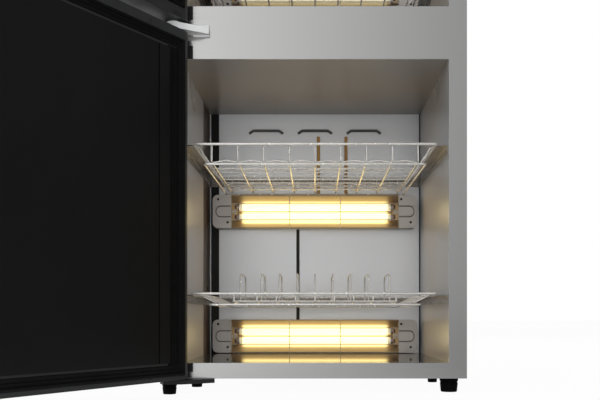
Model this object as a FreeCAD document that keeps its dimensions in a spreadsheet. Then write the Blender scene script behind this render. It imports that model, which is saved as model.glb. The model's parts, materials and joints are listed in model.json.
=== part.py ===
import FreeCAD, Part
import math
import os
import Sketcher
from FreeCAD import Placement, Rotation, Vector

# A free-standing dish sterilizer cabinet with two heated compartments, one above the other.
# X runs across the front with the hinge side negative, Y from the front frame's face to the
# back, Z up from the floor. Both doors stand open on pins at the left front edge.

doc = FreeCAD.newDocument("dish_sterilizer_cabinet")
sheet = doc.addObject("Spreadsheet::Sheet", "Sizes")
rows = []
nodes = []


# ---------------------------------------------------------------- sizes and their formulas

def text_of(value):
    """The sheet formula of a size, or a plain number as text."""
    return value.formula if isinstance(value, Size) else repr(float(value))


def number_of(value):
    return value.number if isinstance(value, Size) else float(value)


class Size:
    """A length in millimetres or an angle in degrees, with the formula that gives it."""

    def __init__(self, number, formula):
        self.number = number
        self.formula = formula

    def __add__(self, other):
        return Size(self.number + number_of(other), f"({self.formula} + {text_of(other)})")

    def __radd__(self, other):
        return self + other

    def __sub__(self, other):
        return Size(self.number - number_of(other), f"({self.formula} - {text_of(other)})")

    def __rsub__(self, other):
        return Size(number_of(other) - self.number, f"({text_of(other)} - {self.formula})")

    def __mul__(self, other):
        return Size(self.number * number_of(other), f"({self.formula} * {text_of(other)})")

    def __rmul__(self, other):
        return self * other

    def __truediv__(self, other):
        return Size(self.number / number_of(other), f"({self.formula} / {text_of(other)})")

    def __neg__(self):
        return self * -1

    def __float__(self):
        return float(self.number)


def size(name, number):
    """Write one driving size into the sheet and give it back with its formula."""
    rows.append(name)
    row = len(rows)
    sheet.set(f"A{row}", name)
    sheet.set(f"B{row}", str(number))
    sheet.setAlias(f"B{row}", name)
    return Size(number, f"Sizes.{name}")


# Casing and openings, from the floor up.
cabinet_width = size("cabinet_width", 420)
cabinet_depth = size("cabinet_depth", 350)
leg_height = size("leg_height", 20.4)
bottom_bar = size("bottom_bar", 21.5)
lower_opening = size("lower_opening", 420)
middle_bar = size("middle_bar", 73)
upper_opening = size("upper_opening", 330)
top_bar = size("top_bar", 65.1)
top_cover_height = size("top_cover_height", 20)
stile_width = size("stile_width", 25)
interior_depth = size("interior_depth", 310)
frame_sheet = size("frame_sheet", 1.5)
frame_flange = size("frame_flange", 14)
case_sheet = size("case_sheet", 0.8)
case_return = size("case_return", 12)
liner_sheet = size("liner_sheet", 0.6)
cover_wall = size("cover_wall", 2.5)
cover_edge = size("cover_edge", 3)
pan_flange = size("pan_flange", 15)

# Doors and hinges.
door_gap = size("door_gap", 3)
door_thickness = size("door_thickness", 37)
door_open_angle = size("door_open_angle", 120.7)
door_floor_gap = size("door_floor_gap", 1)
lower_door_overlap = size("lower_door_overlap", 28.8)
upper_door_overlap = size("upper_door_overlap", 28.7)
door_spacing = size("door_spacing", 14.3)
glass_thickness = size("glass_thickness", 4)
glass_margin = size("glass_margin", 3)
glass_clearance = size("glass_clearance", 0.5)
door_panel_depth = size("door_panel_depth", 3)
door_panel_inset = size("door_panel_inset", 26.4)
door_panel_clearance = size("door_panel_clearance", 3)
door_strip_width = size("door_strip_width", 19)
door_groove_width = size("door_groove_width", 3)
gasket_width = size("gasket_width", 15)
gasket_depth = size("gasket_depth", 2.7)
gasket_lip = size("gasket_lip", 8.5)
gasket_rib = size("gasket_rib", 3)
gasket_top_extra = size("gasket_top_extra", 1.2)
pin_diameter = size("pin_diameter", 8)
pin_depth = size("pin_depth", 12)
pin_clearance = size("pin_clearance", 0.05)
pin_end_gap = size("pin_end_gap", 2)
washer_diameter = size("washer_diameter", 15)
running_gap = size("running_gap", 0.2)
bracket_sheet = size("bracket_sheet", 2.5)
bracket_nose = size("bracket_nose", 12)
bracket_tab_left = size("bracket_tab_left", 42)
bracket_tab_width = size("bracket_tab_width", 22)
bracket_tab_height = size("bracket_tab_height", 16.4)
bracket_tab_lift = size("bracket_tab_lift", 1.9)
tongue_clearance = size("tongue_clearance", 2.5)
tongue_height = size("tongue_height", 8.5)
top_plate_sheet = size("top_plate_sheet", 2)
hinge_plate_height = size("hinge_plate_height", 5.5)
hinge_plate_width = size("hinge_plate_width", 72)
hinge_plate_reach = size("hinge_plate_reach", 60)
hinge_plate_taper = size("hinge_plate_taper", 10)
handle_length = size("handle_length", 190)
handle_reach = size("handle_reach", 32)
handle_bar = size("handle_bar", 8)
handle_width = size("handle_width", 14)
handle_inset = size("handle_inset", 34)

# Feet.
front_foot_diameter = size("front_foot_diameter", 26)
hinge_foot_diameter = size("hinge_foot_diameter", 20)
rear_foot_diameter = size("rear_foot_diameter", 16.6)
foot_side_inset = size("foot_side_inset", 20.5)
front_foot_back = size("front_foot_back", 28)
rear_foot_back = size("rear_foot_back", 190)
hinge_foot_back = size("hinge_foot_back", -8)
hinge_foot_side = size("hinge_foot_side", 8)

# Control head.
head_height = size("head_height", 52)
head_wall = size("head_wall", 4)
head_edge = size("head_edge", 3.5)
window_width = size("window_width", 210)
window_height = size("window_height", 30)
window_depth = size("window_depth", 2)
window_left = size("window_left", 150)
button_width = size("button_width", 18)
button_tall = size("button_tall", 11)
button_chamfer = size("button_chamfer", 0.8)
button_pitch = size("button_pitch", 32)
button_first = size("button_first", 98)
button_proud = size("button_proud", 2.5)
button_travel = size("button_travel", 1.5)
button_clearance = size("button_clearance", 0.3)
button_rim = size("button_rim", 1.5)
board_gap = size("board_gap", 5)
board_sheet = size("board_sheet", 1.6)
board_margin = size("board_margin", 2)
switch_width = size("switch_width", 6)

# Heaters.
heater_length = size("heater_length", 354)
heater_height = size("heater_height", 57.3)
heater_tray_depth = size("heater_tray_depth", 24)
heater_cap_length = size("heater_cap_length", 32)
heater_cap_depth = size("heater_cap_depth", 28)
heater_cap_corner = size("heater_cap_corner", 9)
cap_groove_height = size("cap_groove_height", 20)
cap_groove_line = size("cap_groove_line", 2.3)
cap_groove_margin = size("cap_groove_margin", 2)
cap_groove_depth = size("cap_groove_depth", 1)
heater_sheet = size("heater_sheet", 1)
heater_back_height = size("heater_back_height", 30)
tube_diameter = size("tube_diameter", 12)
tube_spacing = size("tube_spacing", 17)
tube_wall_gap = size("tube_wall_gap", 13)
holder_length = size("holder_length", 9)
holder_margin = size("holder_margin", 0.5)
holder_proud = size("holder_proud", 2)
guard_wire = size("guard_wire", 2.5)
guard_spacing = size("guard_spacing", 14.2)
guard_upright = size("guard_upright", 88)
heater_gap = size("heater_gap", 1.05)
upper_heater_rise = size("upper_heater_rise", 130)
sleeve_diameter = size("sleeve_diameter", 5.6)
lower_sleeve_side = size("lower_sleeve_side", -30)
middle_sleeve_side = size("middle_sleeve_side", 6.1)
right_sleeve_side = size("right_sleeve_side", 54.5)
sleeve_hood_gap = size("sleeve_hood_gap", 4.25)
sleeve_clearance = size("sleeve_clearance", 0.5)
hood_width = size("hood_width", 63)
hood_height = size("hood_height", 9)
hood_pitch = size("hood_pitch", 86)
hood_depth = size("hood_depth", 5)
hood_drop = size("hood_drop", 27)

# Racks and rails.
rim_wire = size("rim_wire", 3.8)
frame_wire = size("frame_wire", 3.2)
rack_wire = size("rack_wire", 2.4)
rack_side_gap = size("rack_side_gap", 15)
rack_front = size("rack_front", 10)
rack_rear_gap = size("rack_rear_gap", 11)
rack_corner = size("rack_corner", 6)
frame_corner = size("frame_corner", 5)
strut_margin = size("strut_margin", 25)
rail_sheet = size("rail_sheet", 1.2)
rail_drop = size("rail_drop", 11)
rail_front = size("rail_front", 6)
bowl_rack_rise = size("bowl_rack_rise", 304.7)
bowl_rack_deep = size("bowl_rack_deep", 27.9)
bowl_rack_inset = size("bowl_rack_inset", 15.5)
bowl_pitch = size("bowl_pitch", 36)
bowl_wave = size("bowl_wave", 8)
bowl_wave_margin = size("bowl_wave_margin", 17)
bowl_long_margin = size("bowl_long_margin", 31)
plate_rack_rise = size("plate_rack_rise", 96.3)
plate_rack_deep = size("plate_rack_deep", 15.4)
plate_rack_inset = size("plate_rack_inset", 23)
plate_pitch = size("plate_pitch", 27)
plate_end_pitch = size("plate_end_pitch", 32)
plate_divider_height = size("plate_divider_height", 44)
plate_divider_span = size("plate_divider_span", 92)
plate_long_margin = size("plate_long_margin", 30)
plate_long_gap = size("plate_long_gap", 14)
upper_rack_rise = size("upper_rack_rise", 87)

# Parts behind the liner and on the back.
gland_side = size("gland_side", 60)
gland_rise = size("gland_rise", 50)
gland_width = size("gland_width", 20)
gland_neck = size("gland_neck", 11.4)
gland_bore = size("gland_bore", 8)
gland_head = size("gland_head", 8)
gland_reach = size("gland_reach", 9)
gland_clearance = size("gland_clearance", 0.15)
thermostat_diameter = size("thermostat_diameter", 16)
thermostat_drop = size("thermostat_drop", 110)
terminal_box_width = size("terminal_box_width", 90)
terminal_box_height = size("terminal_box_height", 50)
terminal_box_depth = size("terminal_box_depth", 28)
terminal_box_offset = size("terminal_box_offset", 40)
slot_middle = size("slot_middle", 50)
slot_width = size("slot_width", 40)
slot_height = size("slot_height", 5)
slot_pitch = size("slot_pitch", 14)
slot_drop = size("slot_drop", 40)

doc.recompute()

# Places that several pieces share.
half = cabinet_width / 2
opening_half = half - stile_width
lower_floor = leg_height + bottom_bar
lower_ceiling = lower_floor + lower_opening
upper_floor = lower_ceiling + middle_bar
upper_ceiling = upper_floor + upper_opening
frame_top = upper_ceiling + top_bar
cabinet_top = frame_top + top_cover_height
case_back = cabinet_depth - case_sheet
door_half = door_thickness / 2
pivot_x = door_half - half
pivot_y = -(door_gap + door_half)
door_front = door_gap + door_thickness
free_edge = cabinet_width - door_half
lower_door_bottom = leg_height + door_floor_gap
lower_door_top = lower_ceiling + lower_door_overlap
upper_door_bottom = lower_door_top + door_spacing
upper_door_top = upper_ceiling + upper_door_overlap
head_bottom = cabinet_top - head_height
hinge_plate_low = leg_height - hinge_plate_height


# ---------------------------------------------------------------- ways of making pieces

def node(part, label):
    """Name a finished piece and keep it for the export."""
    part.Label = label
    nodes.append(part)
    return part


def bind(thing, **values):
    for name, value in values.items():
        thing.setExpression(name, text_of(value))


def place(thing, x=0, y=0, z=0):
    for axis, value in zip("xyz", (x, y, z)):
        thing.setExpression(f".Placement.Base.{axis}", text_of(value))


def box(name, x, y, z):
    """A plate or block between two values along each axis."""
    part = doc.addObject("Part::Box", name)
    bind(part, Length=x[1] - x[0], Width=y[1] - y[0], Height=z[1] - z[0])
    place(part, x[0], y[0], z[0])
    return part


def cylinder(name, diameter, length, start, direction=Vector(0, 0, 1)):
    part = doc.addObject("Part::Cylinder", name)
    part.Placement = Placement(Vector(), Rotation(Vector(0, 0, 1), direction))
    bind(part, Radius=diameter / 2, Height=length)
    place(part, *start)
    return part


def group(label, parts):
    """Identical or paired pieces that share one node as separate solids."""
    whole = doc.addObject("Part::Compound", label)
    whole.Links = parts
    return node(whole, label)


def mirrored(part, name):
    """The same piece on the other side of the cabinet's middle plane."""
    twin = doc.addObject("Part::Mirroring", name)
    twin.Source = part
    twin.Normal = Vector(1, 0, 0)
    return twin


def new_body(name):
    return doc.addObject("PartDesign::Body", name)


def origin_plane(body, role):
    return [item for item in body.Origin.OriginFeatures if item.Role == role][0]


def hold(sketch, geometry, point, x, y):
    """Fix one point of the sketch by its two distances from the sketch's origin."""
    for kind, value in (("DistanceX", x), ("DistanceY", y)):
        index = sketch.addConstraint(
            Sketcher.Constraint(kind, -1, 1, geometry, point, number_of(value))
        )
        sketch.setExpression(f"Constraints[{index}]", text_of(value))


def outline(body, plane, loops=(), circles=(), lift=0):
    """A fully held sketch of straight-edged loops and circles, lifted along the plane's normal."""
    sketch = body.newObject("Sketcher::SketchObject", f"{body.Name}_sketch")
    sketch.AttachmentSupport = [(origin_plane(body, plane), "")]
    sketch.MapMode = "FlatFace"
    sketch.setExpression(".AttachmentOffset.Base.z", text_of(lift))
    for corners in loops:
        first = sketch.GeometryCount
        count = len(corners)
        flat = [Vector(number_of(x), number_of(y), 0) for x, y in corners]
        for step in range(count):
            sketch.addGeometry(Part.LineSegment(flat[step], flat[(step + 1) % count]))
        for step in range(count):
            following = first + (step + 1) % count
            sketch.addConstraint(
                Sketcher.Constraint("Coincident", first + step, 2, following, 1)
            )
        for step, (x, y) in enumerate(corners):
            hold(sketch, first + step, 1, x, y)
    for x, y, diameter in circles:
        index = sketch.addGeometry(
            Part.Circle(
                Vector(number_of(x), number_of(y), 0), Vector(0, 0, 1), number_of(diameter) / 2
            )
        )
        hold(sketch, index, 3, x, y)
        ring = sketch.addConstraint(
            Sketcher.Constraint("Diameter", index, number_of(diameter))
        )
        sketch.setExpression(f"Constraints[{ring}]", text_of(diameter))
    return sketch


def rectangle(x0, y0, x1, y1):
    return [(x0, y0), (x1, y0), (x1, y1), (x0, y1)]


def pad(body, sketch, length, reverse=False, both_ways=False):
    feature = body.newObject("PartDesign::Pad", f"{body.Name}_pad")
    feature.Profile = sketch
    feature.Reversed = reverse
    feature.Midplane = both_ways
    bind(feature, Length=length)
    doc.recompute()
    return feature


def pocket(body, sketch, length, reverse=False):
    """Cut into the piece, and make sure that the cut took something away."""
    before = body.Shape.Volume
    feature = body.newObject("PartDesign::Pocket", f"{body.Name}_pocket")
    feature.Profile = sketch
    feature.Reversed = reverse
    bind(feature, Length=length)
    doc.recompute()
    if not body.Shape.Volume < before:
        raise RuntimeError(f"{body.Name}: a pocket cuts nothing")
    return feature


def edges_of(body, wanted):
    """The names of the edges that the test picks out of the body's present shape."""
    names = [f"Edge{i + 1}" for i, edge in enumerate(body.Tip.Shape.Edges) if wanted(edge)]
    if not names:
        raise RuntimeError(f"{body.Name}: no edge fits the test")
    return body.Tip, names


def round_edges(body, radius, wanted):
    base = edges_of(body, wanted)
    feature = body.newObject("PartDesign::Fillet", f"{body.Name}_fillet")
    feature.Base = base
    bind(feature, Radius=radius)
    doc.recompute()
    return feature


def chamfer_edges(body, depth, wanted):
    base = edges_of(body, wanted)
    feature = body.newObject("PartDesign::Chamfer", f"{body.Name}_chamfer")
    feature.Base = base
    bind(feature, Size=depth)
    doc.recompute()
    return feature


def runs_along(edge, axis):
    """True for a straight edge that is parallel to the axis."""
    if len(edge.Vertexes) != 2 or not isinstance(edge.Curve, Part.Line):
        return False
    reach = edge.Vertexes[1].Point - edge.Vertexes[0].Point
    return reach.cross(axis).Length < 1e-6 * reach.Length


X_AXIS = Vector(1, 0, 0)
Y_AXIS = Vector(0, 1, 0)
Z_AXIS = Vector(0, 0, 1)


# ---------------------------------------------------------------- casing

def make_front_frame():
    """One pressed stainless sheet with two openings and a rim turned back all round."""
    frame = new_body("front_frame")
    edge = rectangle(-half, leg_height, half, frame_top)
    lower = rectangle(-opening_half, lower_floor, opening_half, lower_ceiling)
    upper = rectangle(-opening_half, upper_floor, opening_half, upper_ceiling)
    pad(frame, outline(frame, "XZ_Plane", [edge, lower, upper]), frame_sheet, reverse=True)
    inner = rectangle(
        frame_sheet - half,
        leg_height + frame_sheet,
        half - frame_sheet,
        frame_top - frame_sheet,
    )
    pad(frame, outline(frame, "XZ_Plane", [edge, inner]), frame_flange, reverse=True)
    return node(frame, "front_frame")


def make_side_panels():
    """Folded sheets with narrow returns at the front and at the back."""
    start = frame_flange
    left = new_body("side_panel_left")
    profile = [
        (-half, start),
        (case_return - half, start),
        (case_return - half, start + case_sheet),
        (case_sheet - half, start + case_sheet),
        (case_sheet - half, case_back - case_sheet),
        (case_return - half, case_back - case_sheet),
        (case_return - half, case_back),
        (-half, case_back),
    ]
    sketch = outline(left, "XY_Plane", [profile], lift=leg_height)
    pad(left, sketch, frame_top - leg_height)
    node(left, "side_panel_left")
    return node(mirrored(left, "side_panel_right"), "side_panel_right")


gland_x = gland_side - half
gland_z = leg_height + gland_rise
SLOT_ROWS = 4


def make_back_cover():
    """A flat cover with two rows of vent slots high up and a hole for the cord gland."""
    cover = new_body("back_cover")
    sheet_edge = rectangle(-half, leg_height, half, frame_top)
    pad(
        cover,
        outline(cover, "XZ_Plane", [sheet_edge], lift=-cabinet_depth),
        case_sheet,
    )
    slots = []
    for side in (-1, 1):
        left = slot_middle * side - slot_width / 2
        for step in range(SLOT_ROWS):
            top = frame_top - slot_drop - slot_pitch * step
            slots.append(rectangle(left, top - slot_height, left + slot_width, top))
    hole = [(gland_x, gland_z, gland_neck + gland_clearance * 2)]
    pocket(cover, outline(cover, "XZ_Plane", slots, hole, lift=-case_back), case_sheet)
    return node(cover, "back_cover")


def make_base_pan():
    """The bottom tray with an upturned rim."""
    pan = new_body("base_pan")
    front = frame_flange + case_sheet
    back = case_back - case_sheet
    side = half - case_sheet
    pad(
        pan,
        outline(pan, "XY_Plane", [rectangle(-side, front, side, back)], lift=leg_height),
        case_sheet,
    )
    rim = [
        rectangle(-side, front, side, back),
        rectangle(case_sheet - side, front + case_sheet, side - case_sheet, back - case_sheet),
    ]
    pad(pan, outline(pan, "XY_Plane", rim, lift=leg_height), pan_flange)
    return node(pan, "base_pan")


def make_top_cover():
    """A moulded lid, hollow below, with its three free top edges chamfered."""
    cover = new_body("top_cover")
    pad(
        cover,
        outline(cover, "XY_Plane", [rectangle(-half, 0, half, cabinet_depth)], lift=frame_top),
        top_cover_height,
    )
    top = number_of(cabinet_top) - 1e-3
    chamfer_edges(
        cover,
        cover_edge,
        lambda edge: edge.BoundBox.ZMin > top and edge.BoundBox.YMax > 1,
    )
    hollow = rectangle(
        cover_wall * 2 - half, cover_wall * 2, half - cover_wall * 2, cabinet_depth - cover_wall * 2
    )
    pocket(
        cover,
        outline(cover, "XY_Plane", [hollow], lift=frame_top),
        top_cover_height - cover_wall,
        reverse=True,
    )
    return node(cover, "top_cover")


def make_liner(name, floor, ceiling):
    """The inner box of one compartment: back, a pair of sides, and floor with ceiling."""
    front = frame_sheet
    back = box(
        f"{name}_liner_back",
        (-opening_half, opening_half),
        (interior_depth, interior_depth + liner_sheet),
        (floor - liner_sheet, ceiling + liner_sheet),
    )
    node(back, f"{name}_liner_back")
    sides = [
        box(
            f"{name}_side_{word}",
            (inner, inner + liner_sheet),
            (front, interior_depth + liner_sheet),
            (floor - liner_sheet, ceiling + liner_sheet),
        )
        for word, inner in (("left", -opening_half - liner_sheet), ("right", opening_half))
    ]
    group(f"{name}_liner_sides", sides)
    ends = [
        box(
            f"{name}_{word}",
            (-opening_half, opening_half),
            (front, interior_depth),
            (low, low + liner_sheet),
        )
        for word, low in (("floor", floor - liner_sheet), ("ceiling", ceiling))
    ]
    group(f"{name}_liner_floor_ceiling", ends)


def make_feet():
    """Two larger feet in front and two small ones behind."""
    feet = []
    hinge_foot_x = pivot_x - hinge_foot_side
    places = (
        ("hinge", hinge_foot_x, hinge_foot_back, hinge_foot_diameter, hinge_plate_low),
        ("front", half - foot_side_inset, front_foot_back, front_foot_diameter, leg_height),
        ("rear_left", foot_side_inset - half, rear_foot_back, rear_foot_diameter, leg_height),
        ("rear_right", half - foot_side_inset, rear_foot_back, rear_foot_diameter, leg_height),
    )
    for word, x, y, diameter, height in places:
        feet.append(cylinder(f"foot_{word}", diameter, height, (x, y, 0)))
    group("feet", feet)


# ---------------------------------------------------------------- doors and hinges

def swing(part):
    """Stand a door piece, drawn closed about its pivot, at the open angle."""
    part.Placement = Placement(Vector(), Rotation(Vector(0, 0, -1), number_of(door_open_angle)))
    part.setExpression(".Placement.Rotation.Angle", text_of(door_open_angle))
    place(part, pivot_x, pivot_y, 0)
    return part


def make_door_frame(name, bottom, top):
    """The door's body: a slab whose hinge edge is a half round about the pivot."""
    frame = new_body(f"{name}_frame")
    slab = rectangle(0, -door_half, free_edge, door_half)
    height = top - bottom
    pad(frame, outline(frame, "XY_Plane", [slab], lift=bottom), height)
    pad(frame, outline(frame, "XY_Plane", (), [(0, 0, door_thickness)], lift=bottom), height)
    edge_x = number_of(free_edge) - 1e-3
    chamfer_edges(
        frame,
        glass_margin,
        lambda edge: runs_along(edge, Z_AXIS) and edge.BoundBox.XMin > edge_x,
    )
    recess = rectangle(
        0, bottom + glass_margin, free_edge - glass_margin * 2, top - glass_margin
    )
    pocket(frame, outline(frame, "XZ_Plane", [recess], lift=door_half), glass_thickness)
    bore = [(0, 0, pin_diameter + pin_clearance * 2)]
    deep = pin_depth + pin_end_gap
    pocket(frame, outline(frame, "XY_Plane", (), bore, lift=bottom), deep, reverse=True)
    pocket(frame, outline(frame, "XY_Plane", (), bore, lift=top), deep)
    return node(swing(frame), f"{name}_frame")


def make_door_glass(name, bottom, top):
    """The dark front pane, let into the door's outer face."""
    pane = new_body(f"{name}_glass")
    gap = glass_margin + glass_clearance
    face = rectangle(
        glass_clearance, bottom + gap, free_edge - glass_margin - gap, top - gap
    )
    pad(
        pane,
        outline(pane, "XZ_Plane", [face], lift=door_half),
        glass_thickness,
        reverse=True,
    )
    round_edges(pane, glass_margin, lambda edge: runs_along(edge, Y_AXIS))
    return node(swing(pane), f"{name}_glass")


def make_door_inner_panel(name, floor, ceiling):
    """The raised inner panel, with a groove beside its hinge-side strip."""
    panel = new_body(f"{name}_inner_panel")
    left = stile_width - door_half + door_panel_inset
    right = free_edge - stile_width - door_panel_inset / 2
    low = floor + door_panel_clearance
    high = ceiling - door_panel_clearance
    pad(
        panel,
        outline(panel, "XZ_Plane", [rectangle(left, low, right, high)], lift=-door_half),
        door_panel_depth,
        reverse=True,
    )
    groove = left + door_strip_width
    pocket(
        panel,
        outline(
            panel,
            "XZ_Plane",
            [rectangle(groove, low - 1, groove + door_groove_width, high + 1)],
            lift=-door_half - door_panel_depth,
        ),
        door_panel_depth / 2,
        reverse=True,
    )
    return node(swing(panel), f"{name}_inner_panel")


def make_door_gasket(name, floor, ceiling):
    """The sealing ring, with a hollow line between its two lips."""
    seal = new_body(f"{name}_gasket")
    near = stile_width - door_half + gasket_lip
    far = free_edge - stile_width
    high = ceiling + gasket_top_extra

    def loop(outward):
        return rectangle(near - outward, floor - outward, far + outward, high + outward)

    ring = [loop(gasket_width), loop(0)]
    pad(seal, outline(seal, "XZ_Plane", ring, lift=-door_half), gasket_depth, reverse=True)
    line = [loop((gasket_width + gasket_rib) / 2), loop((gasket_width - gasket_rib) / 2)]
    pocket(
        seal,
        outline(seal, "XZ_Plane", line, lift=-door_half - gasket_depth),
        gasket_depth / 2,
        reverse=True,
    )
    return node(swing(seal), f"{name}_gasket")


def make_door_handle(name, middle):
    """A bow handle of flat bar with chamfered shoulders, standing on the glass."""
    bow = new_body(f"{name}_handle")
    face = -door_half
    out = face - handle_reach
    under = out + handle_bar
    low = middle - handle_length / 2
    high = middle + handle_length / 2
    profile = [
        (face, low),
        (out + handle_bar, low),
        (out, low + handle_bar),
        (out, high - handle_bar),
        (out + handle_bar, high),
        (face, high),
        (face, high - handle_bar * 1.5),
        (under, high - handle_bar * 1.5),
        (under, low + handle_bar * 1.5),
        (face, low + handle_bar * 1.5),
    ]
    lift = free_edge - handle_inset - handle_width / 2
    pad(bow, outline(bow, "YZ_Plane", [profile], lift=lift), handle_width)
    front = number_of(out) + 1e-3
    round_edges(
        bow,
        handle_bar / 4,
        lambda edge: runs_along(edge, Z_AXIS) and edge.BoundBox.YMax < front,
    )
    return node(swing(bow), f"{name}_handle")


def make_door(name, bottom, top, floor, ceiling):
    make_door_frame(name, bottom, top)
    make_door_glass(name, bottom, top)
    make_door_inner_panel(name, floor, ceiling)
    make_door_gasket(name, floor, ceiling)
    make_door_handle(name, (bottom + top) / 2)


tab_right = bracket_tab_left + bracket_tab_width - half
tab_left = bracket_tab_left - half
tongue_top = upper_door_bottom - tongue_clearance
tongue_low = tongue_top - tongue_height


def tongue_outline():
    """From the tab's foot to two points on the nose circle about the pivot."""
    return [
        (tab_right, 0),
        (tab_right, -(bracket_sheet * 3)),
        (pivot_x + bracket_nose * 0.28, pivot_y - bracket_nose * 0.96),
        (pivot_x - bracket_nose * 0.6, pivot_y + bracket_nose * 0.8),
        (tab_left, 0),
    ]


def make_middle_bracket():
    """A tab on the middle bar with a thick tongue that carries the pins of both doors."""
    bracket = new_body("hinge_bracket_middle")
    nose = [(pivot_x, pivot_y, bracket_nose * 2)]
    arm = outline(bracket, "XY_Plane", [tongue_outline()], lift=tongue_low)
    pad(bracket, arm, tongue_height)
    pad(bracket, outline(bracket, "XY_Plane", (), nose, lift=tongue_low), tongue_height)
    tab_low = (lower_door_top + upper_door_bottom - bracket_tab_height) / 2 + bracket_tab_lift
    tab = rectangle(tab_left, tab_low, tab_right, tab_low + bracket_tab_height)
    pad(bracket, outline(bracket, "XZ_Plane", [tab]), bracket_sheet)
    return node(bracket, "hinge_bracket_middle")


def make_top_plate():
    """The hinge tongue under the control head, folded up against the top bar."""
    plate = new_body("hinge_plate_top")
    low = upper_door_top + tongue_clearance - running_gap
    nose = [(pivot_x, pivot_y, bracket_nose * 2)]
    pad(plate, outline(plate, "XY_Plane", [tongue_outline()], lift=low), top_plate_sheet)
    pad(plate, outline(plate, "XY_Plane", (), nose, lift=low), top_plate_sheet)
    return node(plate, "hinge_plate_top")


def make_bottom_plate():
    """The black plate under the base that reaches forward below the lower door's pivot."""
    plate = new_body("hinge_plate_bottom")
    right = hinge_plate_width - half
    front = pivot_y - bracket_nose
    corners = [
        (right - hinge_plate_taper, hinge_plate_reach),
        (right, -(bracket_sheet * 2)),
        (pivot_x + bracket_nose, front),
        (pivot_x - bracket_nose, front),
        (-half, pivot_y),
        (-half, hinge_plate_reach),
    ]
    pad(plate, outline(plate, "XY_Plane", [corners], lift=hinge_plate_low), hinge_plate_height)
    return node(plate, "hinge_plate_bottom")


def make_pins():
    """Four pins on one axis, and the washers that carry the doors' weight."""
    top_plate = upper_door_top + tongue_clearance - running_gap
    spans = (
        ("pin_low", leg_height, lower_door_bottom + pin_depth),
        ("pin_middle_low", lower_door_top - pin_depth, tongue_low),
        ("pin_middle_high", tongue_top, upper_door_bottom + pin_depth),
        ("pin_top", upper_door_top - pin_depth, top_plate),
    )
    pins = [
        cylinder(word, pin_diameter, high - low, (pivot_x, pivot_y, low))
        for word, low, high in spans
    ]
    group("hinge_pins", pins)
    washers = []
    for word, low, high in (
        ("washer_low", leg_height, lower_door_bottom - running_gap),
        ("washer_high", tongue_top, upper_door_bottom - running_gap),
    ):
        ring = new_body(word)
        circles = [
            (pivot_x, pivot_y, washer_diameter),
            (pivot_x, pivot_y, pin_diameter + pin_clearance * 2),
        ]
        pad(ring, outline(ring, "XY_Plane", (), circles, lift=low), high - low)
        washers.append(ring)
    group("hinge_washers", washers)


# ---------------------------------------------------------------- control head

button_height = head_bottom + head_height / 2
button_names = ("power", "upper", "lower")
button_places = [button_first + button_pitch * step for step in range(3)]
window_low = button_height - window_height / 2


def key_outline(x, margin):
    """The outline of a key at x, widened all round by the margin."""
    wide = button_width / 2 + margin
    tall = button_tall / 2 + margin
    return rectangle(x - wide, button_height - tall, x + wide, button_height + tall)


def make_control_head():
    """A hollow moulding above the doors with a window recess and button holes."""
    head = new_body("control_head")
    block = rectangle(-half, head_bottom, half, cabinet_top)
    pad(head, outline(head, "XZ_Plane", [block]), door_front)
    front = number_of(door_front) - 1e-3
    round_edges(
        head,
        head_edge,
        lambda edge: runs_along(edge, X_AXIS) and edge.BoundBox.YMax < -front,
    )
    hollow = rectangle(
        head_wall - half, head_bottom + head_wall, half - head_wall, cabinet_top - head_wall
    )
    pocket(head, outline(head, "XZ_Plane", [hollow]), door_front - head_wall, reverse=True)
    recess = rectangle(
        -window_left - glass_clearance,
        window_low - glass_clearance,
        window_width - window_left + glass_clearance,
        window_low + window_height + glass_clearance,
    )
    pocket(head, outline(head, "XZ_Plane", [recess], lift=door_front), window_depth)
    holes = [key_outline(x, button_clearance) for x in button_places]
    pocket(head, outline(head, "XZ_Plane", holes, lift=door_front), head_wall)
    return node(head, "control_head")


def make_control_window():
    window = new_body("control_window")
    pane = rectangle(
        -window_left, window_low, window_width - window_left, window_low + window_height
    )
    pad(
        window,
        outline(window, "XZ_Plane", [pane], lift=door_front),
        window_depth,
        reverse=True,
    )
    round_edges(window, window_depth, lambda edge: runs_along(edge, Y_AXIS))
    return node(window, "control_window")


def make_button(word, x):
    """A key with chamfered edges, and a collar that keeps it behind the fascia."""
    button = new_body(f"button_{word}")
    face = door_front + button_proud
    inside = door_front - head_wall - running_gap
    pad(
        button,
        outline(button, "XZ_Plane", [key_outline(x, 0)], lift=face),
        face - inside + button_rim,
        reverse=True,
    )
    front = number_of(face) - 1e-3
    chamfer_edges(button, button_chamfer, lambda edge: edge.BoundBox.YMax < -front)
    pad(
        button,
        outline(button, "XZ_Plane", [key_outline(x, button_rim)], lift=inside),
        button_rim,
        reverse=True,
    )
    return node(button, f"button_{word}")


def make_control_board():
    """The circuit board between the head's side walls, with a switch behind each button."""
    back = door_front - head_wall - running_gap - button_rim - board_gap
    board = box(
        "board_sheet_solid",
        (head_wall - half, half - head_wall),
        (-back, board_sheet - back),
        (head_bottom + head_wall + board_margin, cabinet_top - head_wall - board_margin),
    )
    switches = [
        box(
            f"switch_{word}",
            (x - switch_width / 2, x + switch_width / 2),
            (button_travel + running_gap - back - board_gap, -back),
            (button_height - switch_width / 2, button_height + switch_width / 2),
        )
        for word, x in zip(button_names, button_places)
    ]
    group("control_board", [board] + switches)


# ---------------------------------------------------------------- heaters

heater_half = heater_length / 2
tray_half = heater_half - heater_cap_length
under_bowl_rack = lower_floor + bowl_rack_rise - bowl_rack_deep - frame_wire / 2
heater_rises = (
    ("lower", lower_floor + heater_gap + heater_height / 2),
    ("middle", under_bowl_rack - heater_gap - heater_height / 2),
    ("upper", upper_floor + upper_heater_rise),
)


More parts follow.
